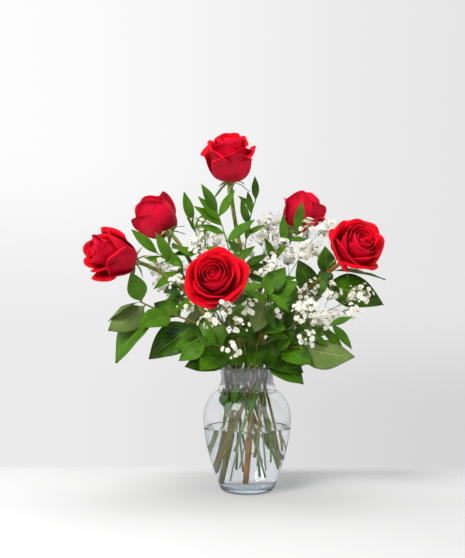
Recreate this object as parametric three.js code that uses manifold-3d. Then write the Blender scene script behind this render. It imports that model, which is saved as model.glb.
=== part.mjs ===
// Six cut roses in a clear glass vase, with salal, ruscus and gypsophila. Millimetres, +Z up.
// The origin is the centre of the vase's base, on the surface that it stands on. +X is to the right
// and -Y to the front. Each stem runs straight from its foot in the vase, through the neck, to a
// point just above the rim, and from there bends freely to its own tip.
import * as THREE from "three";
import { mergeVertices } from "three/addons/utils/BufferGeometryUtils.js";
import Module from "manifold-3d";

const wasm = await Module();
wasm.setup();

// ---------------------------------------------------------------- driving sizes

const clearance = 0.3; // between pieces that touch
const growthClearance = 0.45; // between leaves, which meet at all angles
const sliver = 0.08; // detail below this is smoothed away after a cut
const vase = {
  footRadius: 36,
  heelRadius: 44.5,
  heelHeight: 12,
  bodyRadius: 67.5,
  bodyHeight: 113,
  shoulderHeight: 154,
  collarRadius: 43.2,
  neckRadius: 40.2,
  neckLength: 36,
  lipRadius: 44,
  wall: 3,
  floor: 9,
  toe: 4, // how far the floor is rounded up into the wall
  sides: 24,
};
const vaseCurves = {
  lowerSteps: 4,
  shoulderSteps: 4,
  shoulderPower: 1.7, // how far the shoulder keeps its width before it falls to the neck
  shoulderEnd: 0.62,
  heelBulge: 1.6,
  heelBulgeShare: 0.3,
  floorMargin: 2,
};
// The neck from the collar up, as [outwards from the neck, share of the neck's length].
const neckProfile = [[3.5, 0.12], [0.5, 0.34], [0, 0.6], [1.4, 0.82]];
const lipShare = 0.97;
const waterLevel = 97;
const rimHeight = vase.shoulderHeight + vase.neckLength;

const stemSizes = {
  rose: { radius: 3.7, sides: 8, bends: 7 },
  salal: { radius: 2.1, sides: 6, bends: 5 },
  ruscus: { radius: 1.5, sides: 5, bends: 5 },
  gypsophila: { radius: 1.3, sides: 5, bends: 5 },
};

// The stems stand in a florist's spiral: a disc of feet is turned and shrunk into the neck. The
// middle of the disc is left open, by the area of this many places.
const spiral = {
  turn: 60,
  places: 29,
  open: 1.5,
  footHeight: 70,
  footMargin: 8.5,
  neckMargin: clearance + stemSizes.rose.radius,
  exitLift: 12,
};
const goldenAngle = Math.PI * (3 - Math.sqrt(5));
const bend = { leave: 0.35, arrive: 0.3 }; // how far a free stem holds its first and last direction
const endClearance = 1; // between a stem's cut end and the vase's wall
// The cut ends stand at different heights: the lowest, the step between them and how many steps.
const feet = {
  rose: { lowest: 3, step: 3, count: 3 },
  salal: { lowest: 3, step: 7, count: 4 },
  ruscus: { lowest: 17, step: 9, count: 3 },
  gypsophila: { lowest: 13, step: 8, count: 4 },
};

const leafSizes = {
  rose: { length: 40, width: 25, thickness: 0.9, fold: 0.12, droop: 0.12, widest: 0.42 },
  salal: { length: 74, width: 46, thickness: 1.1, fold: 0.14, droop: 0.14, widest: 0.4 },
  ruscus: { length: 46, width: 15, thickness: 0.9, fold: 0.12, droop: 0.06, widest: 0.45 },
};
const outlook = { lean: 1.6, backFrom: 90 }; // how far leaves look outwards, and where the back begins
const leafShape = { bluntness: 0.8, edgeRise: 1.4, leastHalf: 0.7 };
const leafGrid = { across: 2, lengthwise: 3 };
const hip = { radius: 6, height: 12, sides: 8, footShare: 0.62, widestShare: 0.5, topShare: 0.8 };
const sepal = { length: 30, width: 7, thickness: 0.9, fold: 0.1, droop: 0.25, widest: 0.3, count: 5 };
const sepalGrid = { across: 1, lengthwise: 2 };
const sepalRoot = { along: 0.62, out: 0.5, back: 0.35 };
const petals = {
  wall: 2,
  lobes: 5,
  lobeDepth: 0.07,
  tipRise: 0.09,
  sides: 20,
  levels: 4,
  cupShare: 0.97,
  cupHeight: 0.86,
  floorHeight: 0.1,
  heartShare: 0.62,
  heartGap: 1.2,
  heartSides: 14,
};
const cupShape = { swellRate: 1.5, footSwell: 0.08, closed: 0.86, flare: 0.14 };
// The top of the furled heart, as shares of its radius and of the bloom's height.
const heartTop = [[0.8, 0.94], [0.5, 0.98]];
const heartDimple = 0.92;
const spray = {
  twigs: 7,
  twigRadius: 0.8,
  twigSides: 4,
  reach: 36,
  puffRadius: 14.5,
  firstTwig: 0.5,
  lastTwig: 0.98,
  spread: 1.15,
  narrowing: 0.95,
  rise: 0.75,
  longest: 1.15,
  shortening: 0.35,
};

// ---------------------------------------------------------------- the arrangement
// A tip is [right, back, above the rim]. aim is the direction in which a stem ends, and place its
// number in the spiral. A leaf is [place along the free stem, compass, lift, size, roll]: compass 0
// is to the right, 90 to the back, 180 to the left and 270 to the front, lift is degrees above
// level, and roll turns the leaf about its own midrib.

const roses = [
  {
    place: 4, tip: [-25, -2, 280], aim: [-0.04, -0.45, 0.89],
    radius: 37, height: 76, open: 0.5, leaves: [],
  },
  {
    place: 24, tip: [-121, 48, 210], aim: [-0.62, 0.4, 0.68],
    radius: 38, height: 72, open: 0.4, leaves: [[0.84, 250, 5, 1, 0], [0.7, 330, 30, 0.9, 0]],
  },
  {
    place: 27, tip: [-166, -18, 160], aim: [-0.8, -0.55, 0.2],
    radius: 36, height: 81, open: 0.5, leaves: [[0.6, 230, -10, 0.9, 0]],
  },
  {
    place: 9, tip: [-43, -78, 121], aim: [-0.14, -0.93, 0.33],
    radius: 42, height: 50, open: 0.8, leaves: [[0.7, 330, 10, 0.9, 0]],
  },
  {
    place: 13, tip: [71, 58, 214], aim: [0.5, 0.38, 0.78],
    radius: 35, height: 72, open: 0.3, leaves: [[0.9, 300, 10, 0.8, 0]],
  },
  {
    place: 2, tip: [150, -22, 166], aim: [0.34, -0.84, 0.42],
    radius: 43, height: 60, open: 0.7, leaves: [[0.7, 40, 20, 1, 0], [0.8, 250, -20, 0.8, 0]],
  },
];

const salal = [
  { // low on the left
    place: 14, tip: [-163, -38, 100], aim: [-0.85, -0.1, 0.5],
    leaves: [[0.15, 230, 0, 0.9, 0], [0.3, 215, -10, 1, 0], [0.5, 200, -35, 1.2, 0],
      [0.62, 150, 30, 0.8, 0], [0.7, 225, -10, 0.85, 0], [0.84, 205, -45, 1.35, 30],
      [0.93, 200, -40, 0.95, 165], [1, 200, -25, 0.75, 50], [0.97, 215, 65, 0.66, 0]],
  },
  { // over the rim, front left
    place: 22, tip: [-62, -60, 38], aim: [-0.75, -0.6, 0.3],
    leaves: [[0.1, 195, -5, 1, 0], [0.35, 235, -15, 0.95, 0], [0.5, 140, 50, 0.8, 0],
      [0.62, 170, 25, 0.9, 0], [0.75, 260, 10, 0.8, 0], [0.98, 200, -30, 0.65, 0]],
  },
  { // over the rim, front right
    place: 20, tip: [74, -57, 32], aim: [0.8, -0.55, 0.2],
    leaves: [[0.16, 345, -5, 1.05, 0], [0.28, 345, 10, 0.95, 0], [0.45, 300, 35, 0.7, 0],
      [0.6, 310, -15, 0.85, 0], [0.8, 20, 30, 0.85, 0], [1, 345, -15, 1.15, 180]],
  },
  { // right
    place: 23, tip: [133, 10, 150], aim: [0.5, 0.1, 0.85],
    leaves: [[0.15, 10, 5, 0.95, 0], [0.3, 320, 30, 0.8, 0], [0.42, 340, -25, 0.95, 180],
      [0.5, 250, 40, 0.7, 0], [0.66, 330, 55, 0.72, 0], [0.85, 345, -18, 1.35, 0],
      [0.92, 265, 80, 0.65, 0], [1, 345, -3, 1.15, -55]],
  },
  { // front centre, upright
    place: 12, tip: [28, -48, 112], aim: [0.2, -0.5, 0.84],
    leaves: [[0.1, 200, 3, 1.1, 0], [0.2, 335, -24, 1.1, 0], [0.2, 265, -25, 0.75, 0],
      [0.3, 230, 15, 0.8, 0], [0.45, 300, 5, 0.8, 0], [0.6, 170, 20, 0.75, 0],
      [0.7, 320, 25, 0.7, 0], [0.98, 230, -70, 0.86, 180]],
  },
  { // back left
    place: 16, tip: [-70, 95, 110], aim: [-0.5, 0.7, 0.5],
    leaves: [[0.05, 150, -8, 1, 0], [0.08, 20, 12, 0.9, 0], [0.1, 300, 25, 0.9, 0],
      [0.25, 20, 30, 0.9, 0], [0.15, 205, 15, 0.9, 0], [0.2, 110, 0, 1, 0], [0.35, 180, 5, 1, 0],
      [0.45, 60, 20, 0.9, 0], [0.55, 140, -5, 1.05, 0], [0.75, 70, 8, 1, 0], [0.8, 200, 10, 0.9, 0],
      [0.9, 150, 25, 0.95, 0], [1, 100, -12, 0.9, 0]],
  },
  { // back right
    place: 26, tip: [80, 100, 95], aim: [0.55, 0.7, 0.45],
    leaves: [[0.05, 40, -8, 1, 0], [0.06, 165, 12, 0.9, 0], [0.12, 200, 25, 0.9, 0],
      [0.3, 170, 30, 0.9, 0], [0.18, 345, 0, 1.05, 0], [0.2, 85, 0, 1, 0], [0.35, 10, 5, 1, 0],
      [0.45, 130, 20, 0.9, 0], [0.55, 50, -5, 1.05, 0], [0.68, 340, 10, 0.9, 0],
      [0.75, 110, 8, 1, 0], [0.9, 35, 25, 0.95, 0], [1, 75, -12, 0.9, 0]],
  },
];

const ruscus = [
  { // beside the top rose
    place: 0, tip: [14, 10, 262], aim: [0.35, 0, 0.94],
    leaves: [[0.3, 320, -50, 0.9, 0], [0.38, 340, -20, 1.2, 0], [0.5, 190, 15, 1, 0],
      [0.55, 20, 30, 1, 0], [0.63, 150, 35, 0.9, 0], [0.72, 300, 70, 0.6, 0],
      [0.76, 340, 25, 0.7, 0], [0.82, 220, 65, 0.9, 0], [0.9, 240, 70, 0.76, 0],
      [0.94, 200, 40, 0.65, 0], [1, 265, 78, 0.8, 0]],
  },
  { // upper left of the middle
    place: 1, tip: [-46, -15, 238], aim: [-0.35, -0.1, 0.93],
    leaves: [[0.45, 340, 10, 1, 0], [0.55, 200, 25, 1, 0], [0.62, 5, 40, 1, 0],
      [0.7, 165, 15, 0.9, 0], [0.78, 340, 40, 1.2, 0], [0.84, 190, 20, 0.9, 0],
      [0.9, 200, 35, 1.15, 0], [0.94, 205, 42, 1.1, 0], [0.97, 330, 55, 1.05, 0],
      [0.99, 190, 5, 0.6, 0], [1, 210, 58, 1.1, 0]],
  },
  { // left, behind
    place: 11, tip: [-86, 20, 227], aim: [-0.3, 0.1, 0.94],
    leaves: [[0.5, 330, 20, 1, 0], [0.55, 210, 0, 1, 0], [0.6, 160, 50, 1, 0], [0.66, 60, 20, 1, 0],
      [0.72, 200, 20, 1.1, 0], [0.78, 190, -10, 1, 0], [0.85, 300, 30, 0.9, 0],
      [0.92, 250, 30, 0.8, 0], [0.95, 20, 50, 0.9, 0], [1, 210, 70, 1.1, 0]],
  },
  { // far left
    place: 19, tip: [-140, 0, 176], aim: [-0.85, 0, 0.5],
    leaves: [[0.5, 215, -20, 1.1, 0], [0.56, 300, 10, 0.9, 0], [0.62, 190, -35, 1.1, 0],
      [0.66, 170, 20, 1, 0], [0.72, 210, 60, 0.95, 0], [0.76, 200, -30, 1.1, 0],
      [0.82, 210, 55, 1.3, 0], [0.88, 170, 10, 0.9, 0], [0.92, 320, -20, 0.8, 0],
      [1, 200, 40, 1.2, 0]],
  },
  { // upper right
    place: 18, tip: [84, 25, 210], aim: [0.85, 0.1, 0.35],
    leaves: [[0.34, 320, -60, 0.85, 0], [0.45, 340, -30, 1, 0], [0.52, 200, 20, 0.9, 0],
      [0.6, 120, 60, 0.8, 0], [0.7, 300, 30, 0.8, 0], [0.84, 255, 78, 1, 0], [0.9, 330, 0, 0.7, 0],
      [0.98, 290, 75, 1.15, 0]],
  },
  { // low right
    place: 28, tip: [129, -60, 66], aim: [0.9, -0.3, 0.3],
    leaves: [[0.4, 250, 20, 0.8, 0], [0.5, 330, -10, 0.9, 0], [0.65, 310, -30, 0.9, 0],
      [0.72, 230, 15, 0.8, 0], [0.82, 340, -42, 0.95, 0], [0.92, 340, 25, 0.8, 0],
      [0.96, 335, -45, 1, 0]],
  },
  { // middle, in front
    place: 25, tip: [34, -74, 112], aim: [0.2, -0.6, 0.77],
    leaves: [[0.4, 330, -10, 1, 0], [0.5, 200, -20, 1, 0], [0.6, 340, 30, 0.95, 0],
      [0.7, 320, -60, 0.75, 0], [0.85, 210, 25, 0.9, 0], [0.92, 80, 60, 0.7, 0],
      [0.98, 335, -40, 0.85, 0]],
  },
  { // back, in the middle
    place: 8, tip: [-20, 110, 170], aim: [-0.1, 0.5, 0.86],
    leaves: [[0.4, 120, 10, 1, 0], [0.5, 60, 20, 1, 0], [0.62, 150, 15, 1, 0], [0.72, 30, 35, 1, 0],
      [0.82, 130, 40, 1, 0], [0.91, 70, 10, 1, 0], [1, 95, 70, 1, 0]],
  },
];

const gypsophila = [
  { place: 3, tip: [-67, 30, 200], aim: [-0.4, 0.2, 0.9] },
  { place: 6, tip: [-124, 18, 146], aim: [-0.75, 0.15, 0.65] },
  { place: 5, tip: [37, 42, 215], aim: [0.2, 0.3, 0.93] },
  { place: 10, tip: [102, 8, 196], aim: [0.6, 0, 0.8] },
  { place: 7, tip: [78, -62, 70], aim: [0.6, -0.5, 0.6] },
  { place: 15, tip: [150, -36, 98], aim: [0.9, -0.2, 0.4] },
  { place: 17, tip: [-32, -88, 74], aim: [-0.3, -0.8, 0.5] },
  { place: 21, tip: [8, 108, 135], aim: [0, 0.7, 0.7] },
];

// ---------------------------------------------------------------- solids

// A closed three.js geometry as a manifold-3d solid.
function solidOf(geometry) {
  const bare = geometry.clone();
  bare.deleteAttribute("normal");
  bare.deleteAttribute("uv");
  const merged = mergeVertices(bare, 1e-4);
  return new wasm.Manifold(
    new wasm.Mesh({
      numProp: 3,
      vertProperties: new Float32Array(merged.attributes.position.array),
      triVerts: new Uint32Array(merged.index.array),
    }),
  );
}

function geometryOf(solid) {
  const mesh = solid.getMesh();
  const geometry = new THREE.BufferGeometry();
  geometry.setAttribute("position", new THREE.BufferAttribute(mesh.vertProperties, 3));
  geometry.setIndex(new THREE.BufferAttribute(mesh.triVerts, 1));
  geometry.computeVertexNormals();
  return geometry;
}

// An outline of [radius, height] points turned about the upright axis.
function turned(outline, sides) {
  const points = outline.map(([radius, height]) => new THREE.Vector2(radius, height));
  return new THREE.LatheGeometry(points, sides).rotateX(Math.PI / 2);
}

const joined = (solids) => wasm.Manifold.union(solids);

// The body of a solid that reaches lowest, which is the one with the stem's foot, without slivers.
function rootedPart(solid) {
  const bodies = solid.asOriginal().simplify(sliver).decompose();
  return bodies.reduce((low, body) => (body.boundingBox().min[2] < low.boundingBox().min[2] ? body : low));
}

function tube(curve, radius, sides, steps) {
  const section = new THREE.Shape();
  for (let i = 0; i < sides; i++) {
    const angle = (2 * Math.PI * i) / sides;
    const point = [radius * Math.cos(angle), radius * Math.sin(angle)];
    if (i === 0) section.moveTo(...point);
    else section.lineTo(...point);
  }
  section.closePath();
  return solidOf(new THREE.ExtrudeGeometry(section, { steps, bevelEnabled: false, extrudePath: curve }));
}

// ---------------------------------------------------------------- vase and water

// The outline from the foot to the lip, as [radius, height] points.
function vaseOutline() {
  const outline = [];
  const { lowerSteps, shoulderSteps, shoulderPower, shoulderEnd } = vaseCurves;
  for (let i = 0; i <= lowerSteps; i++) {
    const share = i / lowerSteps;
    outline.push([
      vase.heelRadius + (vase.bodyRadius - vase.heelRadius) * Math.sin((share * Math.PI) / 2),
      vase.heelHeight + (vase.bodyHeight - vase.heelHeight) * share,
    ]);
  }
  for (let i = 1; i <= shoulderSteps; i++) {
    const share = Math.sin(((i / shoulderSteps) * Math.PI) / 2);
    const width = (1 - share ** shoulderPower) ** shoulderEnd;
    outline.push([
      vase.collarRadius + (vase.bodyRadius - vase.collarRadius) * width,
      vase.bodyHeight + (vase.shoulderHeight - vase.bodyHeight) * share,
    ]);
  }
  const neck = (share) => vase.shoulderHeight + vase.neckLength * share;
  neckProfile.forEach(([out, share]) => outline.push([vase.neckRadius + out, neck(share)]));
  outline.push([vase.lipRadius, neck(lipShare)]);
  return outline;
}

// The inside of the wall: the outline moved in by the wall's thickness, square to itself.
function innerOutline(gap) {
  const outer = vaseOutline();
  const inner = outer.map(([radius, height], i) => {
    const [r0, h0] = outer[Math.max(i - 1, 0)];
    const [r1, h1] = outer[Math.min(i + 1, outer.length - 1)];
    const length = Math.hypot(r1 - r0, h1 - h0);
    const inset = vase.wall + gap;
    return [radius - (inset * (h1 - h0)) / length, height + (inset * (r1 - r0)) / length];
  });
  return inner.filter(([, height]) => height > vase.floor + gap + vaseCurves.floorMargin);
}

// The inside radius at a height, read off the inner outline.
function innerRadius(height, gap = 0) {
  const inner = innerOutline(gap);
  const above = inner.findIndex((point) => point[1] > height);
  if (above <= 0) return inner[0][0] - vase.toe;
  const [r0, h0] = inner[above - 1];
  const [r1, h1] = inner[above];
  return r0 + ((r1 - r0) * (height - h0)) / (h1 - h0);
}

const lathe = (outline) => solidOf(turned(outline, vase.sides));

function vaseSolid() {
  const inner = innerOutline(0);
  const floorRadius = inner[0][0] - vase.toe;
  return lathe([
    [0, 0],
    [vase.footRadius, 0],
    [
      (vase.footRadius + vase.heelRadius) / 2 + vaseCurves.heelBulge,
      vase.heelHeight * vaseCurves.heelBulgeShare,
    ],
    ...vaseOutline(),
    [vase.lipRadius - vase.wall / 2, rimHeight],
    ...inner.reverse(),
    [floorRadius, vase.floor],
    [0, vase.floor],
  ]);
}

function waterSolid() {
  const inner = innerOutline(clearance).filter(([, height]) => height < waterLevel - 1);
  const bottom = vase.floor + clearance;
  return lathe([
    [0, bottom],
    [inner[0][0] - vase.toe, bottom],
    ...inner,
    [innerRadius(waterLevel, clearance), waterLevel],
    [0, waterLevel],
  ]);
}

// ---------------------------------------------------------------- stems

const upright = new THREE.Vector3(0, 0, 1);
const radians = THREE.MathUtils.degToRad;
const aboveRim = ([right, back, up]) => new THREE.Vector3(right, back, up + rimHeight);

// Where the stem of one place in the spiral stands at a height, as [x, y].
function spiralPoint(place, height) {
  const footRadius = vase.bodyRadius - vase.wall - spiral.footMargin;
  const neckRadius = vase.neckRadius - vase.wall - spiral.neckMargin;
  const radius = footRadius * Math.sqrt((place + spiral.open) / (spiral.places + spiral.open - 0.5));
  const angle = place * goldenAngle;
  const turn = radians(spiral.turn);
  const neckHeight = vase.shoulderHeight + vase.neckLength / 2;
  const share = (height - spiral.footHeight) / (neckHeight - spiral.footHeight);
  const shrink = neckRadius / footRadius;
  return [
    radius * ((1 - share) * Math.cos(angle) + share * shrink * Math.cos(angle + turn)),
    radius * ((1 - share) * Math.sin(angle) + share * shrink * Math.sin(angle + turn)),
  ];
}

const spiralAt = (place, height) => new THREE.Vector3(...spiralPoint(place, height), height);

// The free part of a stem, from just above the rim to its tip.
function freeCurve(stem) {
  const exitHeight = rimHeight + spiral.exitLift;
  const exit = spiralAt(stem.place, exitHeight);
  const along = exit.clone().sub(spiralAt(stem.place, spiral.footHeight)).normalize();
  const tip = aboveRim(stem.tip);
  const aim = new THREE.Vector3(...stem.aim).normalize();
  const span = exit.distanceTo(tip);
  return new THREE.CubicBezierCurve3(
    exit,
    exit.clone().addScaledVector(along, span * bend.leave),
    tip.clone().addScaledVector(aim, -span * bend.arrive),
    tip,
  );
}

// A whole stem: one straight step from its foot to above the rim, then equal steps to its tip.
class StemCurve extends THREE.Curve {
  constructor(foot, free, bends) {
    super();
    this.foot = foot;
    this.free = free;
    this.firstStep = 1 / (bends + 1);
  }

  getPoint(share) {
    if (share <= this.firstStep) return this.foot.clone().lerp(this.free.v0, share / this.firstStep);
    return this.free.getPoint((share - this.firstStep) / (1 - this.firstStep));
  }

  getPointAt(share) {
    return this.getPoint(share);
  }

  getTangentAt(share) {
    return this.getTangent(share);
  }
}

function stemTube(stem, grow) {
  const { radius, sides, bends } = stem.size;
  const curve = new StemCurve(spiralAt(stem.place, stem.foot), freeCurve(stem), bends);
  return tube(curve, radius + grow, sides, bends + 1);
}

// The lowest height, from wanted up, at which a stem's cut end is clear of the vase's wall.
function footHeight(place, radius, wanted) {
  let height = wanted;
  const room = () => innerRadius(height) - Math.hypot(...spiralPoint(place, height));
  while (room() < radius + endClearance) height += 1;
  return height;
}

// ---------------------------------------------------------------- leaves

// Half the leaf's width at a share of its length: nothing at both ends, widest where size says.
function leafOutline(share, widest) {
  const power = Math.log(0.5) / Math.log(widest);
  return Math.sin(Math.PI * share ** power) ** leafShape.bluntness;
}

// A leaf from base towards direction, its upper side leaning to face. Its blade droops along its
// length and folds up at its edges.
function leafSolid(size, base, direction, face, roll, scale, grow, grid = leafGrid) {
  const length = size.length * scale;
  const halfWidth = (size.width * scale) / 2;
  const forward = direction.clone().normalize();
  const side = forward.clone().cross(face).normalize();
  const normal = side.clone().cross(forward).normalize();
  side.applyAxisAngle(forward, radians(roll));
  normal.applyAxisAngle(forward, radians(roll));
  const blade = new THREE.BoxGeometry(2, 1, 1, grid.across, grid.lengthwise, 1);
  const points = blade.attributes.position;
  const point = new THREE.Vector3();
  for (let i = 0; i < points.count; i++) {
    const across = points.getX(i);
    const share = points.getY(i) + 0.5;
    const face = points.getZ(i);
    const least = size.thickness * leafShape.leastHalf;
    const half = Math.max(halfWidth * leafOutline(share, size.widest), least);
    const fold = leafShape.edgeRise * size.fold * half * Math.abs(across);
    const rise = fold - size.droop * length * share * share;
    point.copy(base);
    point.addScaledVector(forward, length * share + grow * (2 * share - 1));
    point.addScaledVector(side, across * (half + grow));
    point.addScaledVector(normal, rise + face * (size.thickness + 2 * grow));
    points.setXYZ(i, point.x, point.y, point.z);
  }
  return solidOf(blade);
}

function compass(angle, lift) {
  const a = radians(angle);
  const e = radians(lift);
  return new THREE.Vector3(Math.cos(a) * Math.cos(e), Math.sin(a) * Math.cos(e), Math.sin(e));
}

// Leaves look up and out: those of the stems at the back to the back, the others to the front.
function stemLeaves(stem, size, grow) {
  const curve = freeCurve(stem);
  const face = new THREE.Vector3(0, stem.tip[1] > outlook.backFrom ? outlook.lean : -outlook.lean, 1);
  return stem.leaves.map(([along, angle, lift, scale, roll]) =>
    leafSolid(size, curve.getPoint(along), compass(angle, lift), face, roll, scale, grow),
  );
}

// ---------------------------------------------------------------- rose heads

// Turns a solid made upright at the origin so that it stands on a stem's tip, along its aim.
function onTip(geometry, rose, offset) {
  const aim = new THREE.Vector3(...rose.aim).normalize();
  const turn = new THREE.Quaternion().setFromUnitVectors(upright, aim);
  const place = aboveRim(rose.tip).addScaledVector(aim, offset);
  return geometry.applyQuaternion(turn).translate(place.x, place.y, place.z);
}

function calyxSolid(rose, grow) {
  const cup = turned(
    [
      [0, -grow],
      [hip.radius * hip.footShare + grow, -grow],
      [hip.radius + grow, hip.height * hip.widestShare],
      [hip.radius * hip.topShare + grow, hip.height + grow],
      [0, hip.height + grow],
    ],
    hip.sides,
  );
  const parts = [solidOf(onTip(cup, rose, clearance))];
  const aim = new THREE.Vector3(...rose.aim).normalize();
  const turn = new THREE.Quaternion().setFromUnitVectors(upright, aim);
  const base = aboveRim(rose.tip).addScaledVector(aim, hip.height * sepalRoot.along);
  for (let i = 0; i < sepal.count; i++) {
    const around = (2 * Math.PI * i) / sepal.count + rose.place;
    const outward = new THREE.Vector3(Math.cos(around), Math.sin(around), 0).applyQuaternion(turn);
    const direction = outward.clone().addScaledVector(aim, -sepalRoot.back);
    const start = base.clone().addScaledVector(outward, hip.radius * sepalRoot.out);
    parts.push(leafSolid(sepal, start, direction, upright, 0, 1, grow, sepalGrid));
  }
  return rootedPart(joined(parts));
}

// A bloom's radius at a share of its height, as a share of its full radius.
function cupRadius(share, open) {
  const { swellRate, footSwell, closed, flare } = cupShape;
  const swell = Math.sin((Math.PI / 2) * Math.min(share * swellRate + footSwell, 1));
  return swell * (closed + flare * open) + flare * open * share * share;
}

// The cup's outside, as [radius, height] points from its base to its rim.
function cupOutline(rose) {
  const shares = Array.from({ length: petals.levels + 1 }, (_, i) => i / petals.levels);
  return shares.map((share) => [
    rose.radius * petals.cupShare * cupRadius(share, rose.open),
    rose.height * petals.cupHeight * share,
  ]);
}

// A closed cup of outer petals around the heart: a lathe whose sides are drawn into overlapping lobes.
function petalSolid(rose, grow) {
  const outline = cupOutline(rose);
  const outside = outline.map(([radius, height]) => [radius + grow, height]);
  const inside = outline.slice(1).map(([radius, height]) => [radius - petals.wall, height]);
  const floor = rose.height * petals.floorHeight;
  const cup = turned([[0, -grow], ...outside, ...inside.reverse(), [0, floor]], petals.sides);
  const points = cup.attributes.position;
  for (let i = 0; i < points.count; i++) {
    const x = points.getX(i);
    const y = points.getY(i);
    const z = points.getZ(i);
    const around = Math.atan2(y, x) * petals.lobes;
    const share = z / rose.height;
    const swell = 1 + petals.lobeDepth * share * Math.cos(around);
    const rise = petals.tipRise * rose.height * share ** 3 * Math.cos(around);
    points.setXYZ(i, x * swell, y * swell, z + rise);
  }
  return solidOf(onTip(cup, rose, hip.height + 2 * clearance));
}

// The furled inner petals, as one bud that stands in the cup.
function heartSolid(rose, grow) {
  const inCup = cupOutline(rose).slice(1).map(([radius, height]) => {
    const room = (radius - petals.wall) * (1 - petals.lobeDepth) - petals.heartGap;
    return [Math.min(rose.radius * petals.heartShare, room) + grow, height];
  });
  const heartRadius = rose.radius * petals.heartShare;
  const top = heartTop.map(([out, up]) => [heartRadius * out + grow, rose.height * up + grow]);
  const bud = turned(
    [
      [0, rose.height * petals.floorHeight + petals.heartGap - grow],
      ...inCup,
      ...top,
      [0, rose.height * heartDimple + grow],
    ],
    petals.heartSides,
  );
  return solidOf(onTip(bud, rose, hip.height + 2 * clearance));
}

// ---------------------------------------------------------------- gypsophila

// The spray's twigs, each from the main stem to the middle of one puff of small flowers.
function sprayTwigs(stem) {
  const curve = freeCurve(stem);
  const aim = new THREE.Vector3(...stem.aim).normalize();
  const turn = new THREE.Quaternion().setFromUnitVectors(upright, aim);
  const twigs = [];
  for (let i = 0; i < spray.twigs; i++) {
    const share = i / (spray.twigs - 1);
    const start = curve.getPoint(spray.firstTwig + (spray.lastTwig - spray.firstTwig) * share);
    const around = i * goldenAngle + stem.place;
    const spread = spray.spread - spray.narrowing * share;
    const sideways = [spread * Math.cos(around), spread * Math.sin(around)];
    const direction = new THREE.Vector3(...sideways, spray.rise).normalize().applyQuaternion(turn);
    const reach = spray.reach * (spray.longest - spray.shortening * share);
    const end = start.clone().addScaledVector(direction, reach);
    twigs.push([start, end]);
  }
  return twigs;
}

// Each twig with its puff, which is a cloud of flowers too small to model one by one.
function sprayGrowth(stem, grow) {
  return sprayTwigs(stem).flatMap(([start, end]) => {
    const puff = new THREE.IcosahedronGeometry(spray.puffRadius + grow);
    const twig = tube(new THREE.LineCurve3(start, end), spray.twigRadius + grow, spray.twigSides, 1);
    return [twig, solidOf(puff.translate(end.x, end.y, end.z))];
  });
}

// ---------------------------------------------------------------- assembly

const colours = {
  glass: { color: 0xdfe8ea, roughness: 0.05, metalness: 0 },
  water: { color: 0xd6e2e6, roughness: 0.02, metalness: 0 },
  petal: { color: 0xc4061c, roughness: 0.55, metalness: 0 },
  innerPetal: { color: 0xa50316, roughness: 0.6, metalness: 0 },
  roseStem: { color: 0x5d7a2c, roughness: 0.55, metalness: 0 },
  calyx: { color: 0x7f9a45, roughness: 0.6, metalness: 0 },
  salalLeaf: { color: 0x2f6a17, roughness: 0.35, metalness: 0 },
  ruscusLeaf: { color: 0x2c6e12, roughness: 0.4, metalness: 0 },
  gypsophila: { color: 0xf3f1e6, roughness: 0.8, metalness: 0 },
};

const bouquet = new THREE.Group();
const keepOff = []; // solids grown by the clearance, which later pieces are cut back from

function addNode(name, look, solid) {
  const mesh = new THREE.Mesh(geometryOf(solid), new THREE.MeshStandardMaterial(colours[look]));
  mesh.name = name;
  bouquet.add(mesh);
}

// Main stems come first: nothing cuts them, and everything that grows later keeps clear of them.
const stems = [];
function plant(kind, list) {
  const { lowest, step, count } = feet[kind];
  list.forEach((stem, i) => {
    stem.size = stemSizes[kind];
    stem.foot = footHeight(stem.place, stem.size.radius, vase.floor + lowest + step * (i % count));
    stem.name = kind + "_" + (i + 1);
    stem.solid = stemTube(stem, 0);
    stem.grown = stemTube(stem, clearance);
    stems.push(stem);
  });
}
plant("rose", roses);
plant("salal", salal);
plant("ruscus", ruscus);
plant("gypsophila", gypsophila);

roses.forEach((rose) => {
  rose.heads = [calyxSolid(rose, 0), petalSolid(rose, 0), heartSolid(rose, 0)];
  keepOff.push(calyxSolid(rose, clearance), petalSolid(rose, clearance), heartSolid(rose, clearance));
});

// What grows on a stem, cut clear of every other piece and kept where it still hangs on the stem.
function grownStem(stem, growth) {
  const parts = growth(0);
  if (!parts.length) return stem.solid;
  const others = stems.filter((other) => other !== stem).map((other) => other.grown);
  const clear = joined(parts).subtract(joined([...others, ...keepOff]));
  keepOff.push(...growth(growthClearance));
  return rootedPart(joined([stem.solid, clear]));
}

const nodes = [];
roses.forEach((stem) => {
  const solid = grownStem(stem, (grow) => stemLeaves(stem, leafSizes.rose, grow));
  nodes.push([stem.name + "_stem", "roseStem", solid]);
});
salal.forEach((stem) => {
  const solid = grownStem(stem, (grow) => stemLeaves(stem, leafSizes.salal, grow));
  nodes.push([stem.name, "salalLeaf", solid]);
});
ruscus.forEach((stem) => {
  const solid = grownStem(stem, (grow) => stemLeaves(stem, leafSizes.ruscus, grow));
  nodes.push([stem.name, "ruscusLeaf", solid]);
});
gypsophila.forEach((stem) => {
  nodes.push([stem.name, "gypsophila", grownStem(stem, (grow) => sprayGrowth(stem, grow))]);
});

addNode("vase", "glass", vaseSolid());
addNode("water", "water", rootedPart(waterSolid().subtract(joined(stems.map((stem) => stem.grown)))));
nodes.forEach((node) => addNode(...node));
roses.forEach((rose) => {
  addNode(rose.name + "_calyx", "calyx", rose.heads[0]);
  addNode(rose.name + "_outer_petals", "petal", rose.heads[1]);
  addNode(rose.name + "_inner_petals", "innerPetal", rose.heads[2]);
});

export default bouquet;
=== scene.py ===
import bmesh
import bpy
import math
import random
from mathutils import Matrix, Quaternion, Vector, noise


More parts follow.
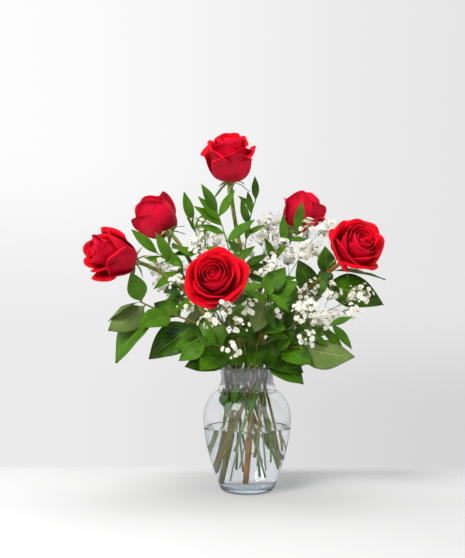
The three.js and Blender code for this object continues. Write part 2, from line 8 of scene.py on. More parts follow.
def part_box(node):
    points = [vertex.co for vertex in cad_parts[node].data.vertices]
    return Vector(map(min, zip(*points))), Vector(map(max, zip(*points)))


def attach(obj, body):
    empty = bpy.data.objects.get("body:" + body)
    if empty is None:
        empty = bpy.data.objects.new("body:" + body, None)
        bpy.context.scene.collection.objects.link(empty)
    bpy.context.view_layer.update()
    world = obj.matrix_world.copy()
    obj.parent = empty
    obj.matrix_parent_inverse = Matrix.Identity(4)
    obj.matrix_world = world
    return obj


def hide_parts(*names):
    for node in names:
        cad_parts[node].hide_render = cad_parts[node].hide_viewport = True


# Six red roses with salal, ruscus and gypsophila in a clear glass vase.
# Metres, the vase's base at the origin, the bouquet facing -Y.

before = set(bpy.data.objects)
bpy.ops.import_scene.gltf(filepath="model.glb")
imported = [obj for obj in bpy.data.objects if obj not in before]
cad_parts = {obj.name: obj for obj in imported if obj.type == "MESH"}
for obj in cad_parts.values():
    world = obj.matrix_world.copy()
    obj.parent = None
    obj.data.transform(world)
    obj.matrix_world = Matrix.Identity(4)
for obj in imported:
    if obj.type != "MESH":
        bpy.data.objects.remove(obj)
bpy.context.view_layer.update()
rng = random.Random(11)
mm = 0.001
golden = math.radians(137.508)  # the turn from one place to the next
upward = Vector((0, 0, 1))
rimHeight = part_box("vase")[1].z
weldWithin = 1e-6

# The stems are straight lines through the vase, all turned and shrunk into its neck.
spiral = {
    "turn": math.radians(60), "places": 29, "open": 1.5, "footRadius": 56 * mm, "neckRadius": 33.2 * mm,
    "footHeight": 70 * mm, "neckHeight": 172 * mm, "exitLift": 12 * mm,
    "steps": 8, "startHold": 0.35, "tipHold": 0.3,
}


def spiralPoint(place, height):
    share = (place + spiral["open"]) / (spiral["places"] + spiral["open"] - 0.5)
    radius = spiral["footRadius"] * math.sqrt(share)
    risen = (height - spiral["footHeight"]) / (spiral["neckHeight"] - spiral["footHeight"])
    shrink = risen * spiral["neckRadius"] / spiral["footRadius"]
    a = place * golden
    b = a + spiral["turn"]
    x = radius * ((1 - risen) * math.cos(a) + shrink * math.cos(b))
    y = radius * ((1 - risen) * math.sin(a) + shrink * math.sin(b))
    return Vector((x, y, height))


def aboveRim(tip):
    return Vector((tip[0] * mm, tip[1] * mm, tip[2] * mm + rimHeight))


# the stem from the neck to its tip, as four points of a bent line
def freeCurve(stem):
    start = spiralPoint(stem["place"], rimHeight + spiral["exitLift"])
    along = (start - spiralPoint(stem["place"], spiral["footHeight"])).normalized()
    tip = aboveRim(stem["tip"])
    aim = Vector(stem["aim"]).normalized()
    span = (tip - start).length
    return [start, start + along * span * spiral["startHold"], tip - aim * span * spiral["tipHold"], tip]


def onCurve(curve, t):
    a, b, c, d = curve
    s = 1 - t
    return a * s ** 3 + b * 3 * s * s * t + c * 3 * s * t * t + d * t ** 3


def compass(angle, lift):
    a, e = math.radians(angle), math.radians(lift)
    return Vector((math.cos(a) * math.cos(e), math.sin(a) * math.cos(e), math.sin(e)))


def stemPoints(stem, node, steps):
    curve = freeCurve(stem)
    foot = spiralPoint(stem["place"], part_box(node)[0].z)
    straight = [foot.lerp(curve[0], i / spiral["steps"]) for i in range(spiral["steps"])]
    return straight + [onCurve(curve, i / steps) for i in range(steps + 1)]


# The uv map and the tone of each vertex are what the materials read.
def newBmesh():
    bm = bmesh.new()
    bm.loops.layers.uv.new("UVMap")
    bm.verts.layers.float.new("tone")
    return bm


# A grid whose every vertex goes to place(u, v): u from -1 to 1 across, v from 0 to 1 along.
def addPatch(bm, across, lengthwise, place, tone):
    grid = bmesh.ops.create_grid(bm, x_segments=across, y_segments=lengthwise, size=1, calc_uvs=True)
    made = grid["verts"]
    layer = bm.verts.layers.float["tone"]
    for vert in made:
        vert.co = place(vert.co.x, (vert.co.y + 1) / 2)
        vert[layer] = tone
    return made


# A tube along points. Its ring is carried along without twisting.
def addTube(bm, points, radii, sides, tone=0.5):
    last = len(points) - 1
    tangents = []
    for i in range(last + 1):
        tangents.append((points[min(i + 1, last)] - points[max(i - 1, 0)]).normalized())
    side = tangents[0].orthogonal().normalized()
    frames = []
    for tangent in tangents:
        side = (side - tangent * side.dot(tangent)).normalized()
        frames.append((side.copy(), tangent.cross(side)))

    def place(u, v):
        i = min(int(round(v * last)), last)
        angle = -math.pi * u
        a, b = frames[i]
        return points[i] + (a * math.cos(angle) + b * math.sin(angle)) * radii[i]

    return addPatch(bm, sides, last, place, tone)


# Turns a bmesh into a piece. A closed one has its seams welded and its open ends filled.
def finishPiece(bm, name, materials, nodes, closed=False, thickness=None, subdivide=0):
    if closed:
        bmesh.ops.remove_doubles(bm, verts=bm.verts, dist=weldWithin)
        bmesh.ops.holes_fill(bm, edges=[e for e in bm.edges if e.is_boundary], sides=0)
        bmesh.ops.recalc_face_normals(bm, faces=bm.faces)
    mesh = bpy.data.meshes.new(name)
    bm.to_mesh(mesh)
    bm.free()
    for polygon in mesh.polygons:
        polygon.use_smooth = True
    for material in materials:
        mesh.materials.append(material)
    piece = bpy.data.objects.new(name, mesh)
    bpy.context.scene.collection.objects.link(piece)
    if subdivide:
        smooth = piece.modifiers.new("smooth", "SUBSURF")
        smooth.levels = smooth.render_levels = subdivide
    if thickness:
        solid = piece.modifiers.new("thickness", "SOLIDIFY")
        solid.thickness = thickness
        solid.offset = -1
        solid.material_offset = 1
    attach(piece, "root")
    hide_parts(*nodes)
    return piece


def newMaterial(name):
    material = bpy.data.materials.new(name)
    material.use_nodes = True
    tree = material.node_tree
    tree.nodes.clear()
    return material, tree


def addNode(tree, kind, **values):
    node = tree.nodes.new("ShaderNode" + kind)
    for key, value in values.items():
        if hasattr(node, key):
            setattr(node, key, value)
        else:
            node.inputs[key.replace("_", " ")].default_value = value
    return node


def link(tree, source, target):
    tree.links.new(source, target)


def math2(tree, operation, a, b=None, clamp=False):
    node = addNode(tree, "Math", operation=operation, use_clamp=clamp)
    for i, value in enumerate((a, b)):
        if value is None:
            continue
        if isinstance(value, (int, float)):
            node.inputs[i].default_value = value
        else:
            link(tree, value, node.inputs[i])
    return node.outputs[0]


def mapRange(tree, value, low, high, toLow=0.0, toHigh=1.0):
    node = addNode(tree, "MapRange")
    node.interpolation_type = "SMOOTHSTEP"
    link(tree, value, node.inputs["Value"])
    for key, number in (("From Min", low), ("From Max", high), ("To Min", toLow), ("To Max", toHigh)):
        node.inputs[key].default_value = number
    return node.outputs["Result"]


def mixColour(tree, factor, a, b, blend="MIX"):
    node = addNode(tree, "Mix", data_type="RGBA", blend_type=blend)
    for socket, value in ((node.inputs[0], factor), (node.inputs[6], a), (node.inputs[7], b)):
        if isinstance(value, (int, float)):
            socket.default_value = value
        elif isinstance(value, tuple):
            socket.default_value = (*value, 1)
        else:
            link(tree, value, socket)
    return node.outputs[2]


def noiseOf(tree, vector, scale, detail=3, roughness=0.5):
    node = addNode(tree, "TexNoise", Scale=scale, Detail=detail, Roughness=roughness)
    link(tree, vector, node.inputs["Vector"])
    return node.outputs["Fac"]


def objectCoords(tree):
    return addNode(tree, "TexCoord").outputs["Object"]


# The piece's own map, how far along it a point is, and how far out from its middle line.
def surfaceCoords(tree):
    uv = addNode(tree, "UVMap", uv_map="UVMap").outputs["UV"]
    parts = addNode(tree, "SeparateXYZ")
    link(tree, uv, parts.inputs[0])
    fromMiddle = math2(tree, "ABSOLUTE", math2(tree, "SUBTRACT", parts.outputs["X"], 0.5))
    return uv, parts.outputs["Y"], math2(tree, "MULTIPLY", fromMiddle, 2)


def toneOf(tree):
    return addNode(tree, "Attribute", attribute_name="tone").outputs["Fac"]


def bumpOf(tree, height, strength, distance):
    node = addNode(tree, "Bump", Strength=strength, Distance=distance)
    link(tree, height, node.inputs["Height"])
    return node.outputs["Normal"]


def stretched(tree, vector, x, y, z=1):
    node = addNode(tree, "Mapping")
    node.inputs["Scale"].default_value = (x, y, z)
    link(tree, vector, node.inputs["Vector"])
    return node.outputs[0]


def output(tree, shader):
    out = addNode(tree, "OutputMaterial")
    link(tree, shader, out.inputs["Surface"])


def mixShader(tree, factor, first, second):
    node = addNode(tree, "MixShader")
    if isinstance(factor, float):
        node.inputs[0].default_value = factor
    else:
        link(tree, factor, node.inputs[0])
    link(tree, first, node.inputs[1])
    link(tree, second, node.inputs[2])
    return node.outputs[0]


# A surface that also lets a share of the light through, as a leaf or petal does.
def thinLeafShader(tree, colour, roughness, normal, through, share, **extra):
    surface = addNode(tree, "BsdfPrincipled", **extra)
    link(tree, colour, surface.inputs["Base Color"])
    if isinstance(roughness, float):
        surface.inputs["Roughness"].default_value = roughness
    else:
        link(tree, roughness, surface.inputs["Roughness"])
    link(tree, normal, surface.inputs["Normal"])
    glow = addNode(tree, "BsdfTranslucent")
    link(tree, through, glow.inputs["Color"])
    output(tree, mixShader(tree, share, surface.outputs[0], glow.outputs[0]))


# deep is the painted shade at the claw and also darkens clouds and fibres; rim is the painted highlight and
# sheen.
petalLooks = {
    "petal_velvet": {"deep": (0.46, 0.0, 0.008), "main": (0.9, 0.001, 0.014), "rim": (0.95, 0.004, 0.022),
                     "sheen": 0.08, "roughness": 0.6, "veinDepth": 0.3},
    "petal_satin": {"deep": (0.46, 0.001, 0.02), "main": (0.78, 0.003, 0.036), "rim": (0.9, 0.012, 0.05),
                    "sheen": 0.05, "roughness": 0.48, "veinDepth": 0.35},
}


# Painted shade darkens the claw, deep in the head, and random clouds darken it too. A painted highlight
# lightens the rim, and a painted sheen lightens it where it turns away.
def petalMaterial(name):
    look = petalLooks[name]
    deep, main, rim = look["deep"], look["main"], look["rim"]
    material, tree = newMaterial(name)
    uv, v, side = surfaceCoords(tree)
    cloud = noiseOf(tree, objectCoords(tree), 60, 2)
    fibres = noiseOf(tree, stretched(tree, uv, 34, 2.2), 1, 4, 0.6)
    # painted shade: darker towards the claw, deep in the head
    colour = mixColour(tree, mapRange(tree, v, 0.05, 0.75), deep, main)
    colour = mixColour(tree, mapRange(tree, cloud, 0.35, 0.75), colour, deep)
    # painted highlight along the rim
    colour = mixColour(tree, mapRange(tree, v, 0.82, 1.0, 0, 0.55), colour, rim)
    colour = mixColour(tree, mapRange(tree, fibres, 0.45, 0.75, 0, 0.22), colour, deep)
    colour = mixColour(tree, math2(tree, "MULTIPLY", toneOf(tree), 0.3), colour, deep)
    # painted sheen: lighter where the petal turns away
    facing = addNode(tree, "LayerWeight", Blend=0.35).outputs["Facing"]
    colour = mixColour(tree, math2(tree, "MULTIPLY", facing, 0.35), colour, rim)
    grain = noiseOf(tree, objectCoords(tree), 900, 2)
    height = math2(tree, "ADD", fibres, math2(tree, "MULTIPLY", grain, 0.5))
    thinLeafShader(
        tree, colour, look["roughness"], bumpOf(tree, height, look["veinDepth"], 0.6 * mm),
        mixColour(tree, 0.5, colour, main), 0.16,
        Sheen_Weight=look["sheen"], Sheen_Roughness=0.45, Sheen_Tint=(1, 0.15, 0.2, 1),
        Specular_IOR_Level=0.2,
    )
    return material


petalFront = petalMaterial("petal_velvet")
petalBack = petalMaterial("petal_satin")

# veins: how many on a side. slant: how far they run forward. through: what light from behind gives.
leafLooks = {
    "salal_top": {
        "dark": (0.01, 0.04, 0.002), "light": (0.06, 0.18, 0.003), "vein": (0.17, 0.28, 0.04),
        "through": (0.2, 0.5, 0.02), "veins": 8, "slant": 0.35, "gloss": 0.3, "veinShare": 0.6},
    "salal_underside": {
        "dark": (0.09, 0.15, 0.03), "light": (0.16, 0.23, 0.06), "vein": (0.3, 0.34, 0.14),
        "through": (0.2, 0.5, 0.02), "veins": 8, "slant": 0.35, "gloss": 0.55, "veinShare": 0.8},
    "ruscus_top": {
        "dark": (0.025, 0.09, 0.002), "light": (0.075, 0.2, 0.004), "vein": (0.14, 0.26, 0.04),
        "through": (0.25, 0.55, 0.03), "veins": 2, "slant": 2.5, "gloss": 0.38, "veinShare": 0.15},
    "ruscus_underside": {
        "dark": (0.06, 0.14, 0.02), "light": (0.1, 0.2, 0.03), "vein": (0.2, 0.3, 0.08),
        "through": (0.25, 0.55, 0.03), "veins": 2, "slant": 2.5, "gloss": 0.5, "veinShare": 0.2},
    "rose_leaf_top": {
        "dark": (0.02, 0.075, 0.012), "light": (0.04, 0.12, 0.02), "vein": (0.14, 0.24, 0.06),
        "through": (0.2, 0.5, 0.03), "veins": 7, "slant": 0.45, "gloss": 0.42, "veinShare": 0.6},
    "sepal": {
        "dark": (0.16, 0.24, 0.05), "light": (0.3, 0.38, 0.11), "vein": (0.36, 0.42, 0.16),
        "through": (0.35, 0.5, 0.1), "veins": 3, "slant": 1.5, "gloss": 0.55, "veinShare": 0.2},
}


# Green with a pale midrib and side veins that run forward to the margin.
def leafMaterial(name):
    look = leafLooks[name]
    material, tree = newMaterial(name)
    uv, v, side = surfaceCoords(tree)
    midrib = mapRange(tree, side, 0.015, 0.055, 1, 0)
    sweep = math2(tree, "SUBTRACT", v, math2(tree, "MULTIPLY", side, look["slant"]))
    comb = math2(tree, "PINGPONG", math2(tree, "MULTIPLY", sweep, look["veins"]), 0.5)
    toMargin = mapRange(tree, side, 0.6, 1, 1, 0.2)
    sideVein = math2(tree, "MULTIPLY", mapRange(tree, comb, 0.0, 0.09, 1, 0), toMargin)
    veined = math2(tree, "MAXIMUM", midrib, math2(tree, "MULTIPLY", sideVein, look["veinShare"]))
    net = noiseOf(tree, objectCoords(tree), 420, 3, 0.6)
    cloud = noiseOf(tree, objectCoords(tree), 38, 3)
    base = mixColour(tree, mapRange(tree, cloud, 0.3, 0.7), look["dark"], look["light"])
    base = mixColour(tree, mapRange(tree, toneOf(tree), 0.25, 1), base, look["light"])
    base = mixColour(tree, mapRange(tree, net, 0.4, 0.8, 0, 0.3), base, look["dark"])
    colour = mixColour(tree, math2(tree, "MULTIPLY", veined, 0.7), base, look["vein"])
    roughness = mapRange(tree, cloud, 0.2, 0.8, look["gloss"] - 0.06, look["gloss"] + 0.12)
    dent = math2(tree, "SUBTRACT", math2(tree, "MULTIPLY", net, 0.35), veined)
    thinLeafShader(
        tree, colour, roughness, bumpOf(tree, dent, 0.7, 0.7 * mm),
        mixColour(tree, 0.5, colour, look["through"]), 0.14, Specular_IOR_Level=0.3,
    )
    return material


salalTop = leafMaterial("salal_top")
salalUnder = leafMaterial("salal_underside")
ruscusTop = leafMaterial("ruscus_top")
ruscusUnder = leafMaterial("ruscus_underside")
roseLeafTop = leafMaterial("rose_leaf_top")
sepalSkin = leafMaterial("sepal")

# low is the colour the light streaks take in the vase, where there is one
barkLooks = {
    "rose_bark": {
        "dark": (0.06, 0.09, 0.008), "light": (0.2, 0.26, 0.03), "blush": (0.22, 0.08, 0.02),
        "low": (0.19, 0.19, 0.012), "blushShare": 0.45, "roughness": 0.5},
    "rose_bark_rust": {
        "dark": (0.16, 0.07, 0.01), "light": (0.34, 0.17, 0.03), "blush": (0.45, 0.12, 0.02),
        "low": (0.3, 0.17, 0.02), "blushShare": 0.7, "roughness": 0.5},
    "salal_bark": {
        "dark": (0.08, 0.07, 0.01), "light": (0.2, 0.18, 0.03), "blush": (0.25, 0.1, 0.02),
        "low": (0.17, 0.17, 0.015), "blushShare": 0.6, "roughness": 0.6},
    "ruscus_bark": {
        "dark": (0.03, 0.11, 0.005), "light": (0.1, 0.24, 0.012), "blush": (0.16, 0.26, 0.02),
        "blushShare": 0.5, "roughness": 0.45},
    "gypsophila_twig": {
        "dark": (0.14, 0.2, 0.07), "light": (0.26, 0.34, 0.13), "blush": (0.3, 0.3, 0.12),
        "blushShare": 0.5, "roughness": 0.6},
}


# Bark with lengthwise streaks, small flecks and a blush on parts of it.
def stemMaterial(name):
    look = barkLooks[name]
    material, tree = newMaterial(name)
    place = objectCoords(tree)
    streak = noiseOf(tree, stretched(tree, place, 500, 500, 30), 1, 3)
    cloud = noiseOf(tree, place, 45, 3)
    fleck = noiseOf(tree, place, 900, 1)
    light = look["light"]
    if "low" in look:
        parts = addNode(tree, "SeparateXYZ")
        link(tree, place, parts.inputs[0])
        soaked = mapRange(tree, parts.outputs["Z"], 0.1, 0.24, 0.85, 0)
        light = mixColour(tree, soaked, light, look["low"])
    colour = mixColour(tree, mapRange(tree, streak, 0.35, 0.65), look["dark"], light)
    colour = mixColour(tree, mapRange(tree, cloud, 0.45, 0.7, 0, look["blushShare"]), colour, look["blush"])
    colour = mixColour(tree, mapRange(tree, fleck, 0.68, 0.75, 0, 0.5), colour, look["dark"])
    surface = addNode(tree, "BsdfPrincipled", Roughness=look["roughness"], Specular_IOR_Level=0.25)
    link(tree, colour, surface.inputs["Base Color"])
    link(tree, bumpOf(tree, math2(tree, "ADD", streak, fleck), 0.3, 0.4 * mm), surface.inputs["Normal"])
    output(tree, surface.outputs[0])
    return material


roseBark = stemMaterial("rose_bark")
rustBark = stemMaterial("rose_bark_rust")
salalBark = stemMaterial("salal_bark")
ruscusBark = stemMaterial("ruscus_bark")
twigBark = stemMaterial("gypsophila_twig")
print("petal, leaf and bark materials done")

# Length, width and thickness are in millimetres, the rest are shares of the leaf's size.
leafKinds = {
    "rose": {"length": 40, "width": 25, "fold": 0.22, "droop": 0.12, "widest": 0.42, "stalk": 0.08,
             "thickness": 0.35, "wave": 0.03, "teeth": 0.04},
    "salal": {"length": 74, "width": 46, "fold": 0.2, "droop": 0.14, "widest": 0.4, "stalk": 0.1,
              "thickness": 0.5, "wave": 0.06, "teeth": 0.015},
    "ruscus": {"length": 46, "width": 15, "fold": 0.16, "droop": 0.06, "widest": 0.45, "stalk": 0.03,
               "thickness": 0.45, "wave": 0.03, "teeth": 0},
    "sepal": {"length": 30, "width": 7, "fold": 0.25, "droop": 0.25, "widest": 0.3, "stalk": 0,
              "thickness": 0.5, "wave": 0.08, "teeth": 0},
}
leafStalk = 0.7 * mm  # half the width of a stalk
backRow = 90  # stems that end further back turn their leaves to the back


def addLeaf(bm, kind, base, direction, face, roll, scale, across=6, lengthwise=12):
    leaf = leafKinds[kind]
    length = leaf["length"] * scale * mm
    halfWidth = leaf["width"] * scale * mm / 2
    forward = direction.normalized()
    side = forward.cross(face).normalized()
    normal = side.cross(forward).normalized()
    turn = Quaternion(forward, math.radians(roll))
    side = turn @ side
    normal = turn @ normal
    power = math.log(0.5) / math.log(leaf["widest"])
    seed = rng.random() * 50
    bend = rng.uniform(-0.07, 0.07)
    tone = rng.random()

    def place(u, v):
        blade = max((v - leaf["stalk"]) / (1 - leaf["stalk"]), 0)
        belly = math.sin(math.pi * min(blade, 0.999) ** power) ** 0.85
        half = halfWidth * belly * (1 - 0.25 * blade ** 6)
        half *= 1 + leaf["teeth"] * math.sin(60 * v + seed) * abs(u) ** 4
        half = max(half, leafStalk * (1 - 0.6 * blade))
        swell = noise.noise(Vector((u * 1.2 + seed, v * 3.5, seed)))
        ripple = swell * leaf["wave"] * length * min(blade * 3, 1)
        frill = math.sin(v * 14 + seed) * abs(u) ** 2.5
        edge = frill * leaf["wave"] * halfWidth * math.sin(math.pi * blade)
        rise = leaf["fold"] * half * abs(u) ** 1.3 - leaf["droop"] * length * v * v
        swing = bend * length * v * v
        lifted = rise + ripple * 0.6 + edge
        return base + forward * (length * v) + side * (u * half + swing) + normal * lifted

    addPatch(bm, across, lengthwise, place, tone)


def growLeaves(bm, stem, kind):
    curve = freeCurve(stem)
    facing = 1.6 if stem["tip"][1] > backRow else -1.6
    face = Vector((0, facing, 1))
    for along, angle, lift, scale, roll in stem["leaves"]:
        addLeaf(bm, kind, onCurve(curve, along), compass(angle, lift), face, roll, scale)


# A tip is right, back and above the rim, radius and height are the head's, all in millimetres.

roses = [
    {"place": 4, "tip": (-25, -2, 280), "aim": (-0.04, -0.45, 0.89), "radius": 37, "height": 76,
     "open": 0.5, "spin": 125, "droop": 0.4, "leaves": []},
    {"place": 24, "tip": (-121, 48, 210), "aim": (-0.62, 0.4, 0.68), "radius": 38, "height": 72,
     "open": 0.4, "spin": 100, "leaves": [(0.84, 250, 5, 1, 0), (0.7, 330, 30, 0.9, 0)]},
    {"place": 27, "tip": (-166, -18, 160), "aim": (-0.8, -0.55, 0.2), "radius": 36, "height": 81,
     "open": 0.5, "spin": 40, "leaves": [(0.6, 230, -10, 0.9, 0)]},
    {"place": 9, "tip": (-43, -78, 121), "aim": (-0.14, -0.93, 0.33), "radius": 42, "height": 50,
     "open": 0.8, "spin": 200, "leaves": [(0.7, 330, 10, 0.9, 0)]},
    {"place": 13, "tip": (71, 58, 214), "aim": (0.5, 0.38, 0.78), "radius": 35, "height": 72,
     "open": 0.3, "spin": 10, "leaves": [(0.9, 300, 10, 0.8, 0)]},
    {"place": 2, "tip": (150, -22, 166), "aim": (0.34, -0.84, 0.42), "radius": 43, "height": 60,
     "open": 0.7, "spin": 60, "leaves": [(0.7, 40, 20, 1, 0), (0.8, 250, -20, 0.8, 0)]},
]
petalCount = 23
innerCount = 13
petalThickness = 0.35
hip = {"height": 12, "sink": 1.5, "profile": [
    (0, 2.6), (0.15, 3.9), (0.4, 5.6), (0.65, 6.2), (0.9, 5.4), (1.05, 3.5)]}
cane = {"radius": 4.2, "taper": 1.1, "knots": 0.3, "steps": 22, "sides": 12, "thornEvery": 4}
thornShape = [(2.6, 0, 2.2), (5, 0.6, 1), (7.2, 2, 0.1)]  # out, back and radius


def mix(a, b, share):
    return a + (b - a) * share


def smoothStep(low, high, value):
    share = min(max((value - low) / (high - low), 0), 1)
    return share * share * (3 - 2 * share)


# The sizes of petal k, counted from the heart outwards. The sizes are in millimetres.
def petalShape(rose, k):
    t = k / (petalCount - 1)
    outer = smoothStep(0.45, 1, t)
    opened = rose["open"]
    radius = rose["radius"] * (0.06 + 0.76 * t ** 0.85)
    sunk = outer * (0.04 + 0.32 * opened ** 2)
    top = rose["height"] * (0.9 + 0.06 * smoothStep(0, 0.4, t) - sunk)
    flare = mix(0.5, 0.96, smoothStep(0, 0.5, t)) + outer * 0.36 * opened
    return {
        "turn": k * golden + math.radians(rose["spin"]) + rng.uniform(-0.12, 0.12),
        "radius": radius,
        "top": top * rng.uniform(0.96, 1.03),
        "mouth": radius * flare * rng.uniform(0.97, 1.04),  # the radius at the top
        "halfAngle": mix(2.1, 1.2, smoothStep(0, 0.7, t)),  # how far it wraps round the heart
        "flat": mix(1.0, 1.18, outer),
        "roll": math.radians(mix(10, 190, smoothStep(0.2, 0.95, t)) * rng.uniform(0.8, 1.15)),
        "rollShare": mix(0.07, 0.2, outer) + 0.06 * opened * outer,  # how much of its length rolls back
        "tuck": mix(0.6, 2.4, t),  # one edge under the next petal
        # how far its corners stand below its top
        "drop": mix(0.14, 0.3, outer) * rng.uniform(0.8, 1.2) * rose.get("droop", 1),
        "ogive": mix(2.6, 1.7, outer),
        "margin": mix(0.4, 3.6, outer) * rng.uniform(0.6, 1.3),
        "wave": mix(0.25, 1.3, t),
        "lean": rng.uniform(-0.25, 0.25),
        "seed": rng.random() * 90,
    }


# Where a point of the petal stands in the head's own frame. p is its side view, from the claw up.
def petalPlace(shape):
    radius, top = shape["radius"], shape["top"]
    p = [
        (2 + radius * 0.1, 0), (radius * 0.98, -top * 0.02),
        (radius * 1.14, top * 0.5), (shape["mouth"], top),
    ]
    span = math.hypot(p[3][0] - p[0][0], p[3][1] - p[0][1]) * 1.12

    def meridian(t):
        s = 1 - t
        weights = (s ** 3, 3 * s * s * t, 3 * s * t * t, t ** 3)
        return [sum(w * q[i] for w, q in zip(weights, p)) for i in (0, 1)]

    def place(u, v):
        skew = abs(u - shape["lean"] * (1 - u * u))
        v = v * (1 - shape["drop"] * skew ** shape["ogive"])
        start = 1 - shape["rollShare"] * (0.75 + 0.25 * skew)
        start -= shape["drop"] * 0.6 * skew ** shape["ogive"]
        r, z = meridian(min(v, start))
        if v > start:
            r0, z0 = meridian(start - 0.02)
            length = math.hypot(r - r0, z - z0)
            tr, tz = (r - r0) / length, (z - z0) / length
            angle = max(shape["roll"] * (0.68 + 0.32 * skew), 0.02)
            reach = shape["rollShare"]
            curl = reach * span / angle
            q = (v - start) / reach * angle
            r += tr * curl * math.sin(q) + tz * curl * (1 - math.cos(q))
            z += tz * curl * math.sin(q) - tr * curl * (1 - math.cos(q))
        width = 0.3 + 0.7 * math.sin(math.pi / 2 * min(v / 0.62, 1))
        width *= 1 - 0.12 * smoothStep(0.62, 1, v)
        bow = max(r, 2) * shape["flat"]
        angle = u * shape["halfAngle"] * width * min(radius / max(r, 2), 1.5) / shape["flat"]
        angle = min(max(angle, -2.8), 2.8)
        seed = shape["seed"]
        wobble = noise.noise(Vector((u * 1.4 + seed, v * 2.2, seed))) * shape["wave"] * 1.6 * v
        wobble += math.sin(u * 6 + seed) * shape["wave"] * 0.6 * smoothStep(0.65, 1, v)
        turnedOut = shape["margin"] * smoothStep(0.62, 1, abs(u)) * smoothStep(0.15, 0.7, v)
        out = r + shape["tuck"] * u + wobble + turnedOut - bow * (1 - math.cos(angle))
        sideways = bow * math.sin(angle)
        c, s = math.cos(shape["turn"]), math.sin(shape["turn"])
        return Vector((out * c - sideways * s, out * s + sideways * c, z)) * mm

    return place


# A function from the head's own frame, which stands offset above the stem's tip, to the bouquet's.
def onTip(rose, offset):
    aim = Vector(rose["aim"]).normalized()
    turn = upward.rotation_difference(aim)
    base = aboveRim(rose["tip"]) + aim * offset
    return lambda point: base + turn @ point


def buildHead(rose, name):
    place = onTip(rose, (hip["height"] - hip["sink"]) * mm)
    for part, members in (("inner", range(innerCount)), ("outer", range(innerCount, petalCount))):
        bm = newBmesh()
        for k in members:
            shaped = petalPlace(petalShape(rose, k))
            addPatch(bm, 10, 12, lambda u, v: place(shaped(u, v)), rng.random())
        node = name + "_" + part + "_petals"
        finishPiece(
            bm, node + "_whorl", [petalBack, petalFront], [node],
            thickness=petalThickness * mm, subdivide=1,
        )


def buildCalyx(rose, name):
    place = onTip(rose, 0)
    bm = newBmesh()
    profile = hip["profile"]

    def hipPlace(u, v):
        i = min(int(v * (len(profile) - 1) + 0.001), len(profile) - 2)
        share = v * (len(profile) - 1) - i
        height, radius = [mix(a, b, share) for a, b in zip(profile[i], profile[i + 1])]
        angle = -math.pi * u
        local = Vector((radius * math.cos(angle), radius * math.sin(angle), height * hip["height"]))
        return place(local * mm)

    addPatch(bm, 14, 10, hipPlace, 0.8)
    for i in range(5):
        around = math.radians(72 * i + rose["spin"] + rng.uniform(-10, 10))
        outward = Vector((math.cos(around), math.sin(around), 0))
        start = place(outward * 3.5 * mm + upward * hip["height"] * 0.72 * mm)
        direction = place(outward + upward * rng.uniform(-0.55, -0.15)) - place(Vector())
        addLeaf(bm, "sepal", start, direction, upward, rng.uniform(-25, 25), rng.uniform(0.85, 1.15), 4, 10)
    node = name + "_calyx"
    thickness = leafKinds["sepal"]["thickness"] * mm
    skins = [sepalSkin, sepalSkin]
    finishPiece(bm, node + "_hip", skins, [node], thickness=thickness, subdivide=1)


def buildRoseStem(rose, name):
    node = name + "_stem"
    bm = newBmesh()
    points = stemPoints(rose, node, cane["steps"])
    radii = []
    for i, point in enumerate(points):
        knot = cane["knots"] * noise.noise(point * 40)
        radii.append((cane["radius"] - cane["taper"] * i / len(points) + knot) * mm)
    addTube(bm, points, radii, cane["sides"])
    for i in range(2, len(points) - 3, cane["thornEvery"]):
        along = (points[i + 1] - points[i]).normalized()
        out = (Quaternion(along, rng.uniform(0, 6.28)) @ along.orthogonal()).normalized()
        thorn = [points[i] + out * far * mm - along * back * mm for far, back, radius in thornShape]
        addTube(bm, thorn, [radius * mm for far, back, radius in thornShape], 6, 0.9)
    bark = rustBark if name == "rose_6" else roseBark
    finishPiece(bm, node + "_cane", [bark], [node], closed=True)
    if rose["leaves"]:
        leaves = newBmesh()
        growLeaves(leaves, rose, "rose")
        finishPiece(
            leaves, node + "_leaves", [roseLeafTop, salalUnder], [node],
            thickness=leafKinds["rose"]["thickness"] * mm, subdivide=1,
        )


for number, rose in enumerate(roses, 1):
    name = "rose_%d" % number
    buildRoseStem(rose, name)
    buildCalyx(rose, name)
    buildHead(rose, name)
print("roses done")

